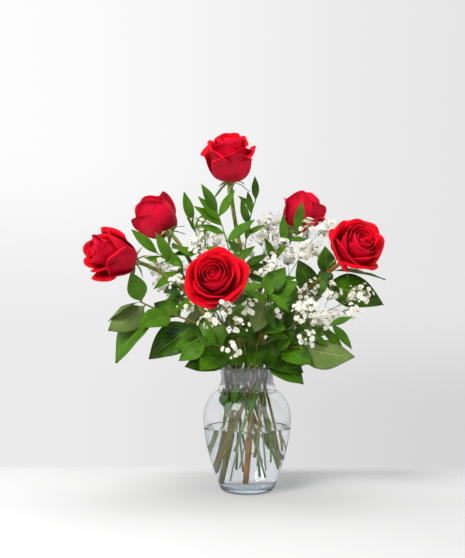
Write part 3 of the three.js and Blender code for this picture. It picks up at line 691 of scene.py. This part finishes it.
# A leaf is its place along the free stem, compass, lift, size and roll.
salal = [
    {"place": 14, "tip": (-163, -38, 100), "aim": (-0.85, -0.1, 0.5), "leaves": [
        (0.15, 230, 0, 0.9, 0), (0.3, 215, -10, 1, 0), (0.5, 200, -35, 1.2, 0), (0.62, 150, 30, 0.8, 0),
        (0.7, 225, -10, 0.85, 0), (0.84, 205, -45, 1.35, 30), (0.93, 200, -40, 0.95, 165),
        (1, 200, -25, 0.75, 50), (0.97, 215, 65, 0.66, 0)]},
    {"place": 22, "tip": (-62, -60, 38), "aim": (-0.75, -0.6, 0.3), "leaves": [
        (0.1, 195, -5, 1, 0), (0.35, 235, -15, 0.95, 0), (0.5, 140, 50, 0.8, 0), (0.62, 170, 25, 0.9, 0),
        (0.75, 260, 10, 0.8, 0), (0.98, 200, -30, 0.65, 0)]},
    {"place": 20, "tip": (74, -57, 32), "aim": (0.8, -0.55, 0.2), "leaves": [
        (0.16, 345, -5, 1.05, 0), (0.28, 345, 10, 0.95, 0), (0.45, 300, 35, 0.7, 0),
        (0.6, 310, -15, 0.85, 0), (0.8, 20, 30, 0.85, 0), (1, 345, -15, 1.15, 180)]},
    {"place": 23, "tip": (133, 10, 150), "aim": (0.5, 0.1, 0.85), "leaves": [
        (0.15, 10, 5, 0.95, 0), (0.3, 320, 30, 0.8, 0), (0.42, 340, -25, 0.95, 180), (0.5, 250, 40, 0.7, 0),
        (0.66, 330, 55, 0.72, 0), (0.85, 345, -18, 1.35, 0), (0.92, 265, 80, 0.65, 0),
        (1, 345, -3, 1.15, -55)]},
    {"place": 12, "tip": (28, -48, 112), "aim": (0.2, -0.5, 0.84), "leaves": [
        (0.1, 200, 3, 1.1, 0), (0.2, 335, -24, 1.1, 0), (0.2, 265, -25, 0.75, 0), (0.3, 230, 15, 0.8, 0),
        (0.45, 300, 5, 0.8, 0), (0.6, 170, 20, 0.75, 0), (0.7, 320, 25, 0.7, 0),
        (0.98, 230, -70, 0.86, 180)]},
    {"place": 16, "tip": (-70, 95, 110), "aim": (-0.5, 0.7, 0.5), "leaves": [
        (0.05, 150, -8, 1, 0), (0.08, 20, 12, 0.9, 0), (0.1, 300, 25, 0.9, 0),
        (0.25, 20, 30, 0.9, 0),
        (0.15, 205, 15, 0.9, 0), (0.2, 110, 0, 1, 0), (0.35, 180, 5, 1, 0), (0.45, 60, 20, 0.9, 0),
        (0.55, 140, -5, 1.05, 0), (0.75, 70, 8, 1, 0), (0.8, 200, 10, 0.9, 0), (0.9, 150, 25, 0.95, 0),
        (1, 100, -12, 0.9, 0)]},
    {"place": 26, "tip": (80, 100, 95), "aim": (0.55, 0.7, 0.45), "leaves": [
        (0.05, 40, -8, 1, 0), (0.06, 165, 12, 0.9, 0), (0.12, 200, 25, 0.9, 0), (0.3, 170, 30, 0.9, 0),
        (0.18, 345, 0, 1.05, 0), (0.2, 85, 0, 1, 0), (0.35, 10, 5, 1, 0), (0.45, 130, 20, 0.9, 0),
        (0.55, 50, -5, 1.05, 0), (0.68, 340, 10, 0.9, 0), (0.75, 110, 8, 1, 0), (0.9, 35, 25, 0.95, 0),
        (1, 75, -12, 0.9, 0)]},
]
ruscus = [
    {"place": 0, "tip": (14, 10, 262), "aim": (0.35, 0, 0.94), "leaves": [
        (0.3, 320, -50, 0.9, 0), (0.38, 340, -20, 1.2, 0), (0.5, 190, 15, 1, 0), (0.55, 20, 30, 1, 0),
        (0.63, 150, 35, 0.9, 0), (0.72, 300, 70, 0.6, 0), (0.76, 340, 25, 0.7, 0), (0.82, 220, 65, 0.9, 0),
        (0.9, 240, 70, 0.76, 0), (0.94, 200, 40, 0.65, 0), (1, 265, 78, 0.8, 0)]},
    {"place": 1, "tip": (-46, -15, 238), "aim": (-0.35, -0.1, 0.93), "leaves": [
        (0.45, 340, 10, 1, 0), (0.55, 200, 25, 1, 0), (0.62, 5, 40, 1, 0), (0.7, 165, 15, 0.9, 0),
        (0.78, 340, 40, 1.2, 0), (0.84, 190, 20, 0.9, 0), (0.9, 200, 35, 1.15, 0), (0.94, 205, 42, 1.1, 0),
        (0.97, 330, 55, 1.05, 0), (0.99, 190, 5, 0.6, 0), (1, 210, 58, 1.1, 0)]},
    {"place": 11, "tip": (-86, 20, 227), "aim": (-0.3, 0.1, 0.94), "leaves": [
        (0.5, 330, 20, 1, 0), (0.55, 210, 0, 1, 0), (0.6, 160, 50, 1, 0), (0.66, 60, 20, 1, 0),
        (0.72, 200, 20, 1.1, 0), (0.78, 190, -10, 1, 0), (0.85, 300, 30, 0.9, 0), (0.92, 250, 30, 0.8, 0),
        (0.95, 20, 50, 0.9, 0), (1, 210, 70, 1.1, 0)]},
    {"place": 19, "tip": (-140, 0, 176), "aim": (-0.85, 0, 0.5), "leaves": [
        (0.5, 215, -20, 1.1, 0), (0.56, 300, 10, 0.9, 0), (0.62, 190, -35, 1.1, 0), (0.66, 170, 20, 1, 0),
        (0.72, 210, 60, 0.95, 0), (0.76, 200, -30, 1.1, 0), (0.82, 210, 55, 1.3, 0), (0.88, 170, 10, 0.9, 0),
        (0.92, 320, -20, 0.8, 0), (1, 200, 40, 1.2, 0)]},
    {"place": 18, "tip": (84, 25, 210), "aim": (0.85, 0.1, 0.35), "leaves": [
        (0.34, 320, -60, 0.85, 0), (0.45, 340, -30, 1, 0), (0.52, 200, 20, 0.9, 0), (0.6, 120, 60, 0.8, 0),
        (0.7, 300, 30, 0.8, 0), (0.84, 255, 78, 1, 0), (0.9, 330, 0, 0.7, 0), (0.98, 290, 75, 1.15, 0)]},
    {"place": 28, "tip": (129, -60, 66), "aim": (0.9, -0.3, 0.3), "leaves": [
        (0.4, 250, 20, 0.8, 0), (0.5, 330, -10, 0.9, 0), (0.65, 310, -30, 0.9, 0), (0.72, 230, 15, 0.8, 0),
        (0.82, 340, -42, 0.95, 0), (0.92, 340, 25, 0.8, 0), (0.96, 335, -45, 1, 0)]},
    {"place": 25, "tip": (34, -74, 112), "aim": (0.2, -0.6, 0.77), "leaves": [
        (0.4, 330, -10, 1, 0), (0.5, 200, -20, 1, 0), (0.6, 340, 30, 0.95, 0), (0.7, 320, -60, 0.75, 0),
        (0.85, 210, 25, 0.9, 0), (0.92, 80, 60, 0.7, 0), (0.98, 335, -40, 0.85, 0)]},
    {"place": 8, "tip": (-20, 110, 170), "aim": (-0.1, 0.5, 0.86), "leaves": [
        (0.4, 120, 10, 1, 0), (0.5, 60, 20, 1, 0), (0.62, 150, 15, 1, 0), (0.72, 30, 35, 1, 0),
        (0.82, 130, 40, 1, 0), (0.91, 70, 10, 1, 0), (1, 95, 70, 1, 0)]},
]

# Small leaves left low on the stems, inside the vase: height, compass, lift, size and roll.
lowLeaves = {
    "salal_1": [(132, 200, 70, 0.3, 20), (112, 230, 60, 0.34, 0)],
    "salal_2": [(126, 240, 72, 0.36, 0), (140, 150, 70, 0.26, 40)],
    "salal_3": [(128, 330, 68, 0.34, 0)],
    "salal_5": [(120, 280, 72, 0.4, 20), (138, 215, 66, 0.3, 0)],
    "ruscus_6": [(125, 320, 66, 0.7, 0), (142, 290, 72, 0.6, 30)],
    "ruscus_7": [(118, 250, 70, 0.7, 0), (134, 300, 66, 0.8, -20)],
}

# A few more leaves between the larger ones.
fillers = {
    "salal_3": [(0.2, 330, -32, 1, 0)],
    "salal_4": [(0.55, 205, 45, 0.85, 0), (0.7, 225, 62, 0.8, 0), (0.6, 190, 15, 0.8, 0)],
    "salal_5": [(0.85, 350, 35, 0.8, 0), (0.95, 20, 60, 0.75, 0)],
    "ruscus_5": [(0.5, 330, 15, 1.2, 0), (0.62, 205, 5, 1.2, 0), (0.68, 250, 40, 1.1, 0)],
}


branch = {"steps": 16, "sides": 8, "taper": 0.4, "salalRadius": 2.1, "ruscusRadius": 1.5}


def buildBranch(stem, name, kind, materials, bark):
    bm = newBmesh()
    points = stemPoints(stem, name, branch["steps"])
    radius = branch[kind + "Radius"]
    radii = [(radius - branch["taper"] * radius * i / len(points)) * mm for i in range(len(points))]
    addTube(bm, points, radii, branch["sides"])
    finishPiece(bm, name + "_stem", [bark], [name], closed=True)
    leaves = newBmesh()
    growLeaves(leaves, {**stem, "leaves": stem["leaves"] + fillers.get(name, [])}, kind)
    for height, angle, lift, scale, roll in lowLeaves.get(name, []):
        base = spiralPoint(stem["place"], height * mm)
        addLeaf(leaves, kind, base, compass(angle, lift), Vector((0, -1, 0.2)), roll, scale)
    thickness = leafKinds[kind]["thickness"] * mm
    finishPiece(leaves, name + "_leaves", materials, [name], thickness=thickness, subdivide=1)


for number, stem in enumerate(salal, 1):
    buildBranch(stem, "salal_%d" % number, "salal", [salalTop, salalUnder], salalBark)
for number, stem in enumerate(ruscus, 1):
    buildBranch(stem, "ruscus_%d" % number, "ruscus", [ruscusTop, ruscusUnder], ruscusBark)
print("leaves done")

# each: one twig in so many bears a puff. florets: how many a puff has.
gypsophila = [
    {"place": 3, "tip": (-67, 30, 200), "aim": (-0.4, 0.2, 0.9), "each": 1, "florets": 17},
    {"place": 6, "tip": (-124, 18, 146), "aim": (-0.75, 0.15, 0.65), "each": 1, "florets": 16},
    {"place": 5, "tip": (37, 42, 215), "aim": (0.2, 0.3, 0.93), "each": 1, "florets": 15},
    {"place": 10, "tip": (102, 8, 196), "aim": (0.6, 0, 0.8), "each": 2, "florets": 27},
    {"place": 7, "tip": (78, -62, 70), "aim": (0.6, -0.5, 0.6), "each": 2, "florets": 13},
    {"place": 15, "tip": (150, -36, 98), "aim": (0.9, -0.2, 0.4), "each": 2, "florets": 16},
    {"place": 17, "tip": (-32, -88, 74), "aim": (-0.3, -0.8, 0.5), "each": 2, "florets": 10},
    {"place": 21, "tip": (8, 108, 135), "aim": (0, 0.7, 0.7), "each": 1, "florets": 18},
]
spray = {
    "twigs": 7, "reach": 36 * mm, "firstTwig": 0.5, "lastTwig": 0.98, "puff": 15 * mm,
    "steps": 14, "radius": 1.3, "taper": 0.8, "fork": 0.6,
    "twigRadii": (0.5, 0.42, 0.36), "stalkRadii": (0.3, 0.25, 0.22),
}
# A floret's radius, and its rings of petals: how many, how far they lean out and how long they are.
floret = {
    "sizes": (1.8, 3.0, 3.6, 4.0, 4.4), "tones": 6,
    "rings": ((6, 1.2, 1.0), (5, 0.75, 0.85), (4, 0.3, 0.65)),
    "cream": (0.9, 0.87, 0.75), "white": (0.93, 0.92, 0.86), "heart": (0.62, 0.6, 0.36),
}


def floretMaterial():
    material, tree = newMaterial("gypsophila_petal")
    uv, v, side = surfaceCoords(tree)
    cream = mixColour(tree, toneOf(tree), floret["cream"], floret["white"])
    heart = mixColour(tree, mapRange(tree, v, 0.0, 0.55), floret["heart"], cream)
    crumple = bumpOf(tree, noiseOf(tree, objectCoords(tree), 1500, 2), 0.3, 0.3 * mm)
    # The faint cream emission is a painted glow that lightens the florets where they are in shade.
    thinLeafShader(
        tree, heart, 0.7, crumple, heart, 0.2,
        Sheen_Weight=0.1, Emission_Color=(1, 0.98, 0.92, 1), Emission_Strength=0.05,
    )
    return material


floretPetal = floretMaterial()


# The start and end of each twig that bears a puff, with a shorter one between each two.
def sprayTwigs(stem):
    curve = freeCurve(stem)
    turn = upward.rotation_difference(Vector(stem["aim"]).normalized())
    twigs = []
    for i in range(2 * spray["twigs"] - 1):
        share = i / (2 * spray["twigs"] - 2)
        start = onCurve(curve, spray["firstTwig"] + (spray["lastTwig"] - spray["firstTwig"]) * share)
        around = i / 2 * golden + stem["place"]
        spread = 1.15 - 0.95 * share
        reach = spray["reach"] * (1.15 - 0.35 * share)
        if i % 2:
            around += math.pi
            reach *= 0.8
        outward = Vector((spread * math.cos(around), spread * math.sin(around), 0.75)).normalized()
        twigs.append((start, start + turn @ outward * reach))
    return twigs


# A small double flower of radius one: three rings of cupped petals.
def floretMesh(tone):
    bm = newBmesh()
    for count, lean, reach in floret["rings"]:
        for i in range(count):
            around = 2 * math.pi * i / count + rng.random()
            tilt = lean + rng.uniform(-0.2, 0.2)
            out = Vector((math.cos(around), math.sin(around), 0))
            across = Vector((-math.sin(around), math.cos(around), 0))

            def place(u, v):
                angle = tilt * (0.4 + 0.8 * v)
                along = out * math.sin(angle) + upward * math.cos(angle)
                width = reach * 0.5 * (0.35 + 0.8 * v)
                return along * reach * v + across * u * width + upward * abs(u) * 0.15

            addPatch(bm, 2, 2, place, tone)
    mesh = bpy.data.meshes.new("floret")
    bm.to_mesh(mesh)
    bm.free()
    return mesh


floretMeshes = [floretMesh(i / (floret["tones"] - 1)) for i in range(floret["tones"])]


def addFloret(bm, centre, facing, size):
    mesh = rng.choice(floretMeshes).copy()
    turn = upward.rotation_difference(facing)
    mesh.transform(Matrix.LocRotScale(centre, turn, Vector((size, size, size))))
    bm.from_mesh(mesh)
    bpy.data.meshes.remove(mesh)


def buildSpray(stem, name):
    stems, flowers = newBmesh(), newBmesh()
    points = stemPoints(stem, name, spray["steps"])
    radii = [(spray["radius"] - spray["taper"] * i / len(points)) * mm for i in range(len(points))]
    addTube(stems, points, radii, 6)
    twigRadii = [radius * mm for radius in spray["twigRadii"]]
    stalkRadii = [radius * mm for radius in spray["stalkRadii"]]
    for start, end in sprayTwigs(stem)[::stem["each"]]:
        along = (end - start).normalized()
        fork = start.lerp(end, spray["fork"])
        bend = start.lerp(end, 0.3) + along.orthogonal() * 1.5 * mm
        addTube(stems, [start, bend, fork], twigRadii, 5)
        for i in range(stem["florets"]):
            outward = Vector([rng.gauss(0, 1) for axis in range(3)]).normalized() + along * 0.35
            centre = end + outward * spray["puff"] * rng.uniform(0.25, 1.0) ** 0.6
            knee = fork.lerp(centre, 0.55) + outward * 1.5 * mm
            addTube(stems, [fork, knee, centre], stalkRadii, 3)
            facing = (outward + Vector((0, -0.5, 0.5))).normalized()
            addFloret(flowers, centre, facing, rng.choice(floret["sizes"]) * mm)
    finishPiece(stems, name + "_twigs", [twigBark], [name], closed=True)
    finishPiece(flowers, name + "_flowers", [floretPetal], [name])


for number, stem in enumerate(gypsophila, 1):
    buildSpray(stem, "gypsophila_%d" % number)
for mesh in floretMeshes:
    bpy.data.meshes.remove(mesh)
print("gypsophila done")

# Millimetres. necking is how far out of the collar the neck stands, at shares of its length.
vase = {
    "heelRadius": 44.5, "heelHeight": 12, "bodyRadius": 67.5, "bodyHeight": 113,
    "shoulderHeight": 154, "collarRadius": 43.2, "neckLength": 36, "lipRadius": 44, "wall": 3, "floor": 9,
    "heelRise": 6, "bellySteps": 16, "shoulderSteps": 14, "spinSteps": 128,
    "necking": [(0.06, 0.9), (0.13, 0.9), (0.2, 0.1), (0.34, -2.4), (0.5, -3), (0.62, -3),
                (0.75, -2.3), (0.86, -0.9), (0.96, 0.6)],
}
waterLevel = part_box("water")[1].z / mm


def vaseOutline():
    v = vase
    line = []
    for i in range(v["bellySteps"] + 1):
        share = i / v["bellySteps"]
        radius = v["heelRadius"] + (v["bodyRadius"] - v["heelRadius"]) * math.sin(share * math.pi / 2)
        line.append((radius, mix(v["heelHeight"], v["bodyHeight"], share)))
    for i in range(1, v["shoulderSteps"] + 1):
        share = math.sin(i / v["shoulderSteps"] * math.pi / 2)
        radius = v["collarRadius"] + (v["bodyRadius"] - v["collarRadius"]) * (1 - share ** 1.7) ** 0.62
        line.append((radius, mix(v["bodyHeight"], v["shoulderHeight"], share)))
    for share, out in v["necking"]:
        line.append((v["collarRadius"] + out, v["shoulderHeight"] + v["neckLength"] * share))
    return line


# The same outline, moved square to itself towards the inside.
def insetLine(line, inset):
    moved = []
    for i, (r, z) in enumerate(line):
        r0, z0 = line[max(i - 1, 0)]
        r1, z1 = line[min(i + 1, len(line) - 1)]
        length = math.hypot(r1 - r0, z1 - z0)
        moved.append((r - inset * (z1 - z0) / length, z + inset * (r1 - r0) / length))
    return moved


# A closed outline of (radius, height) points spun about the upright axis.
def spun(name, line, material, node):
    bm = newBmesh()
    verts = [bm.verts.new(Vector((r, 0, z)) * mm) for r, z in line]
    edges = [bm.edges.new(pair) for pair in zip(verts, verts[1:])]
    bmesh.ops.spin(
        bm, geom=verts + edges, axis=upward, cent=Vector(),
        steps=vase["spinSteps"], angle=2 * math.pi, use_merge=True,
    )
    bmesh.ops.remove_doubles(bm, verts=bm.verts, dist=weldWithin)
    bmesh.ops.recalc_face_normals(bm, faces=bm.faces)
    return finishPiece(bm, name, [material], [node])


# A band runs between two heights in millimetres, ends softly, and has its own tint and haze. Both are
# painted: the neck band's grey tint and haze paint shade into the thick neck, and the foot band's blue-grey
# tint paints the reflection of a dark ring.
# The lip is so thin that part of the light goes straight through it.
clearLooks = {
    "clear_glass": {"ior": 1.47, "tint": (0.97, 0.98, 0.985), "shade": (0.9, 0.92, 0.92), "bands": [
        {"low": 162, "high": 184, "soft": 4, "tint": (0.62, 0.62, 0.66), "haze": 0.13},
        {"low": 0, "high": 9, "soft": 2, "tint": (0.55, 0.63, 0.7), "haze": 0}]},
    "water": {"ior": 1.2, "tint": (0.86, 0.885, 0.93), "shade": (0.97, 0.98, 0.98), "bands": []},
}
thinLip = {"low": 186.5, "high": 188.5, "straight": 0.6}
hazeTone = (0.5, 0.5, 0.54, 1)


# Clear stuff that refracts, but lets light and shadows straight through to what is in it.
def clearMaterial(name):
    look = clearLooks[name]
    material, tree = newMaterial(name)
    place = objectCoords(tree)
    parts = addNode(tree, "SeparateXYZ")
    link(tree, place, parts.inputs[0])
    height = parts.outputs["Z"]
    glass = addNode(
        tree, "BsdfPrincipled", Base_Color=(*look["tint"], 1),
        Roughness=0.0, IOR=look["ior"], Transmission_Weight=1.0,
    )
    link(tree, bumpOf(tree, noiseOf(tree, place, 14, 1), 0.04, 2 * mm), glass.inputs["Normal"])
    colour, bent = look["tint"], glass.outputs[0]
    # painted shade in the neck and a painted reflection at the foot, by each band's tint and haze
    for band in look["bands"]:
        low, high, soft = band["low"], band["high"], band["soft"]
        rising = mapRange(tree, height, (low - soft) * mm, (low + soft) * mm)
        falling = mapRange(tree, height, (high - soft) * mm, (high + soft) * mm, 1, 0)
        within = math2(tree, "MULTIPLY", rising, falling)
        colour = mixColour(tree, within, colour, band["tint"])
        if band["haze"]:
            haze = addNode(tree, "BsdfDiffuse", Color=hazeTone)
            bent = mixShader(tree, math2(tree, "MULTIPLY", within, band["haze"]), bent, haze.outputs[0])
    if look["bands"]:
        link(tree, colour, glass.inputs["Base Color"])
    straight = addNode(tree, "BsdfTransparent", Color=(*look["shade"], 1))
    path = addNode(tree, "LightPath")
    unbent = math2(tree, "MAXIMUM", path.outputs["Is Shadow Ray"], path.outputs["Is Diffuse Ray"])
    lip = mapRange(tree, height, thinLip["low"] * mm, thinLip["high"] * mm, 0, thinLip["straight"])
    output(tree, mixShader(tree, math2(tree, "MAXIMUM", unbent, lip), bent, straight.outputs[0]))
    return material


# The vase's skin from the middle of its foot, up the outside, over the lip and down to the floor.
outerLine = vaseOutline()
aboveHeel = vase["floor"] + vase["heelRise"]
innerLine = [p for p in insetLine(outerLine, vase["wall"]) if p[1] > aboveHeel]
rim = rimHeight / mm
edge = vase["lipRadius"]
foot = [(0, 0.8), (28, 0.6), (33, 0), (36.5, 0.5), (39.8, 2.4), (42.6, 6)]
lip = [(edge - 0.1, rim - 0.5), (edge - 1, rim), (edge - 2.2, rim - 0.1), (edge - 3, rim - 0.9)]
bowl = [(41, 12.6), (38.6, 10.4), (34.5, vase["floor"] + 0.1), (0, vase["floor"])]
glassLine = foot + outerLine + lip + innerLine[::-1] + bowl
spun("vase_glass", glassLine, clearMaterial("clear_glass"), "vase")

# The water stands a little into the glass, and climbs it at the top.
wetSkin = insetLine(outerLine, vase["wall"] - 0.4)
wetLine = [p for p in wetSkin if aboveHeel < p[1] < waterLevel - 1]
wetRadius = wetLine[-1][0]
wetFoot = [(0, vase["floor"] - 0.3), (34.7, vase["floor"] - 0.2), (38.9, 10.1), (41.3, 12.3)]
wetTop = [
    (wetRadius + 0.2, waterLevel + 1.2), (wetRadius - 1.2, waterLevel + 0.2),
    (wetRadius - 3, waterLevel), (0, waterLevel),
]
spun("water_fill", wetFoot + wetLine + wetTop, clearMaterial("water"), "water")
print("vase and water done")

# The floor has painted shade that makes it a little darker on the right, away from the light on the left,
# and fades out behind the vase.
floorLook = {
    "half": 1.6, "left": 0.66, "right": 0.52, "cloud": 0.62, "crossing": (-0.35, 0.35), "fade": (0.13, 0.2),
}


def grey(tone):
    return (tone, tone, tone)


def buildFloor():
    bm = bmesh.new()
    bmesh.ops.create_grid(bm, x_segments=1, y_segments=1, size=floorLook["half"])
    mesh = bpy.data.meshes.new("floor")
    bm.to_mesh(mesh)
    bm.free()
    floor = bpy.data.objects.new("floor", mesh)
    bpy.context.scene.collection.objects.link(floor)
    material, tree = newMaterial("pale_floor")
    place = objectCoords(tree)
    parts = addNode(tree, "SeparateXYZ")
    link(tree, place, parts.inputs[0])
    # painted shade: the floor darkens from left to right
    across = mapRange(tree, parts.outputs["X"], *floorLook["crossing"])
    tone = mixColour(tree, across, grey(floorLook["left"]), grey(floorLook["right"]))
    tone = mixColour(tree, noiseOf(tree, place, 3, 2), tone, grey(floorLook["cloud"]))
    paper = addNode(tree, "BsdfDiffuse")
    link(tree, tone, paper.inputs["Color"])
    clear = addNode(tree, "BsdfTransparent")
    fade = mapRange(tree, parts.outputs["Y"], *floorLook["fade"])
    output(tree, mixShader(tree, fade, paper.outputs[0], clear.outputs[0]))
    mesh.materials.append(material)


# The wall's tones low and high, left and right, paint its light and shade, lighter on the left and higher
# up; the even light; and a window that glossy things mirror.
studio = {
    "left": (0.84, 0.98), "leftRise": (-0.02, 0.22), "right": (0.66, 0.8), "rightRise": (-0.12, 0.04),
    "crossing": (-0.28, 0.3), "light": 0.45,
    "window": (-0.6, -0.55, 0.58), "windowEdge": (0.8, 0.97), "mirrored": (0.32, 3.0),
}


def buildWorld():
    world = bpy.data.worlds.new("studio")
    bpy.context.scene.world = world
    world.use_nodes = True
    tree = world.node_tree
    tree.nodes.clear()
    direction = addNode(tree, "SeparateXYZ")
    around = addNode(tree, "TexCoord").outputs["Generated"]
    link(tree, around, direction.inputs[0])
    tones = []
    # painted light and shade on the wall: lighter to the left and towards the top
    for side in ("left", "right"):
        low, high = studio[side]
        rise = mapRange(tree, direction.outputs["Z"], *studio[side + "Rise"])
        tones.append(mixColour(tree, rise, grey(low), grey(high)))
    across = mapRange(tree, direction.outputs["X"], *studio["crossing"])
    wall = addNode(tree, "Background", Strength=1.0)
    link(tree, mixColour(tree, across, *tones), wall.inputs["Color"])
    even = addNode(tree, "Background", Color=(1, 1, 1, 1), Strength=studio["light"])
    window = addNode(tree, "VectorMath", operation="DOT_PRODUCT")
    link(tree, around, window.inputs[0])
    window.inputs[1].default_value = Vector(studio["window"]).normalized()
    glow = mapRange(tree, window.outputs["Value"], *studio["windowEdge"], *studio["mirrored"])
    mirrored = addNode(tree, "Background", Color=(1, 1, 1, 1))
    link(tree, glow, mirrored.inputs["Strength"])
    path = addNode(tree, "LightPath").outputs
    lit = mixShader(tree, path["Is Diffuse Ray"], wall.outputs[0], even.outputs[0])
    onlyMirrored = math2(tree, "SUBTRACT", path["Is Glossy Ray"], path["Is Transmission Ray"], clamp=True)
    room = mixShader(tree, onlyMirrored, lit, mirrored.outputs[0])
    out = tree.nodes.new("ShaderNodeOutputWorld")
    link(tree, room, out.inputs["Surface"])


lamps = {
    "key": {"place": (-1.0, -1.3, 1.6), "size": 0.8, "power": 44},
    "fill": {"place": (1.4, -1.3, 0.9), "size": 1.2, "power": 12},
    "top": {"place": (0.1, 0.3, 1.9), "size": 1.0, "power": 16},
}
lampsAim = Vector((0, 0, 0.3))


def addLamp(name, lamp):
    light = bpy.data.lights.new(name, "AREA")
    light.shape = "SQUARE"
    light.size = lamp["size"]
    light.energy = lamp["power"]
    holder = bpy.data.objects.new(name, light)
    bpy.context.scene.collection.objects.link(holder)
    holder.location = lamp["place"]
    holder.visible_glossy = False
    holder.rotation_euler = (lampsAim - Vector(lamp["place"])).to_track_quat("-Z", "Y").to_euler()


buildFloor()
buildWorld()
for name, lamp in lamps.items():
    addLamp(name, lamp)
print("floor and lights done")

# lookUp is in degrees above level.
view = {"sensor": 36, "lens": 49.6, "place": (-22.6 * mm, -1.2, 262 * mm), "lookUp": 3.05}
camera = bpy.data.cameras.new("camera")
camera.sensor_width = view["sensor"]
camera.lens = view["lens"]
eye = bpy.data.objects.new("camera", camera)
bpy.context.scene.collection.objects.link(eye)
eye.location = view["place"]
eye.rotation_euler = (math.radians(90 + view["lookUp"]), 0, 0)
bpy.context.scene.camera = eye
bpy.context.scene.view_settings.view_transform = "Standard"
print("camera done")
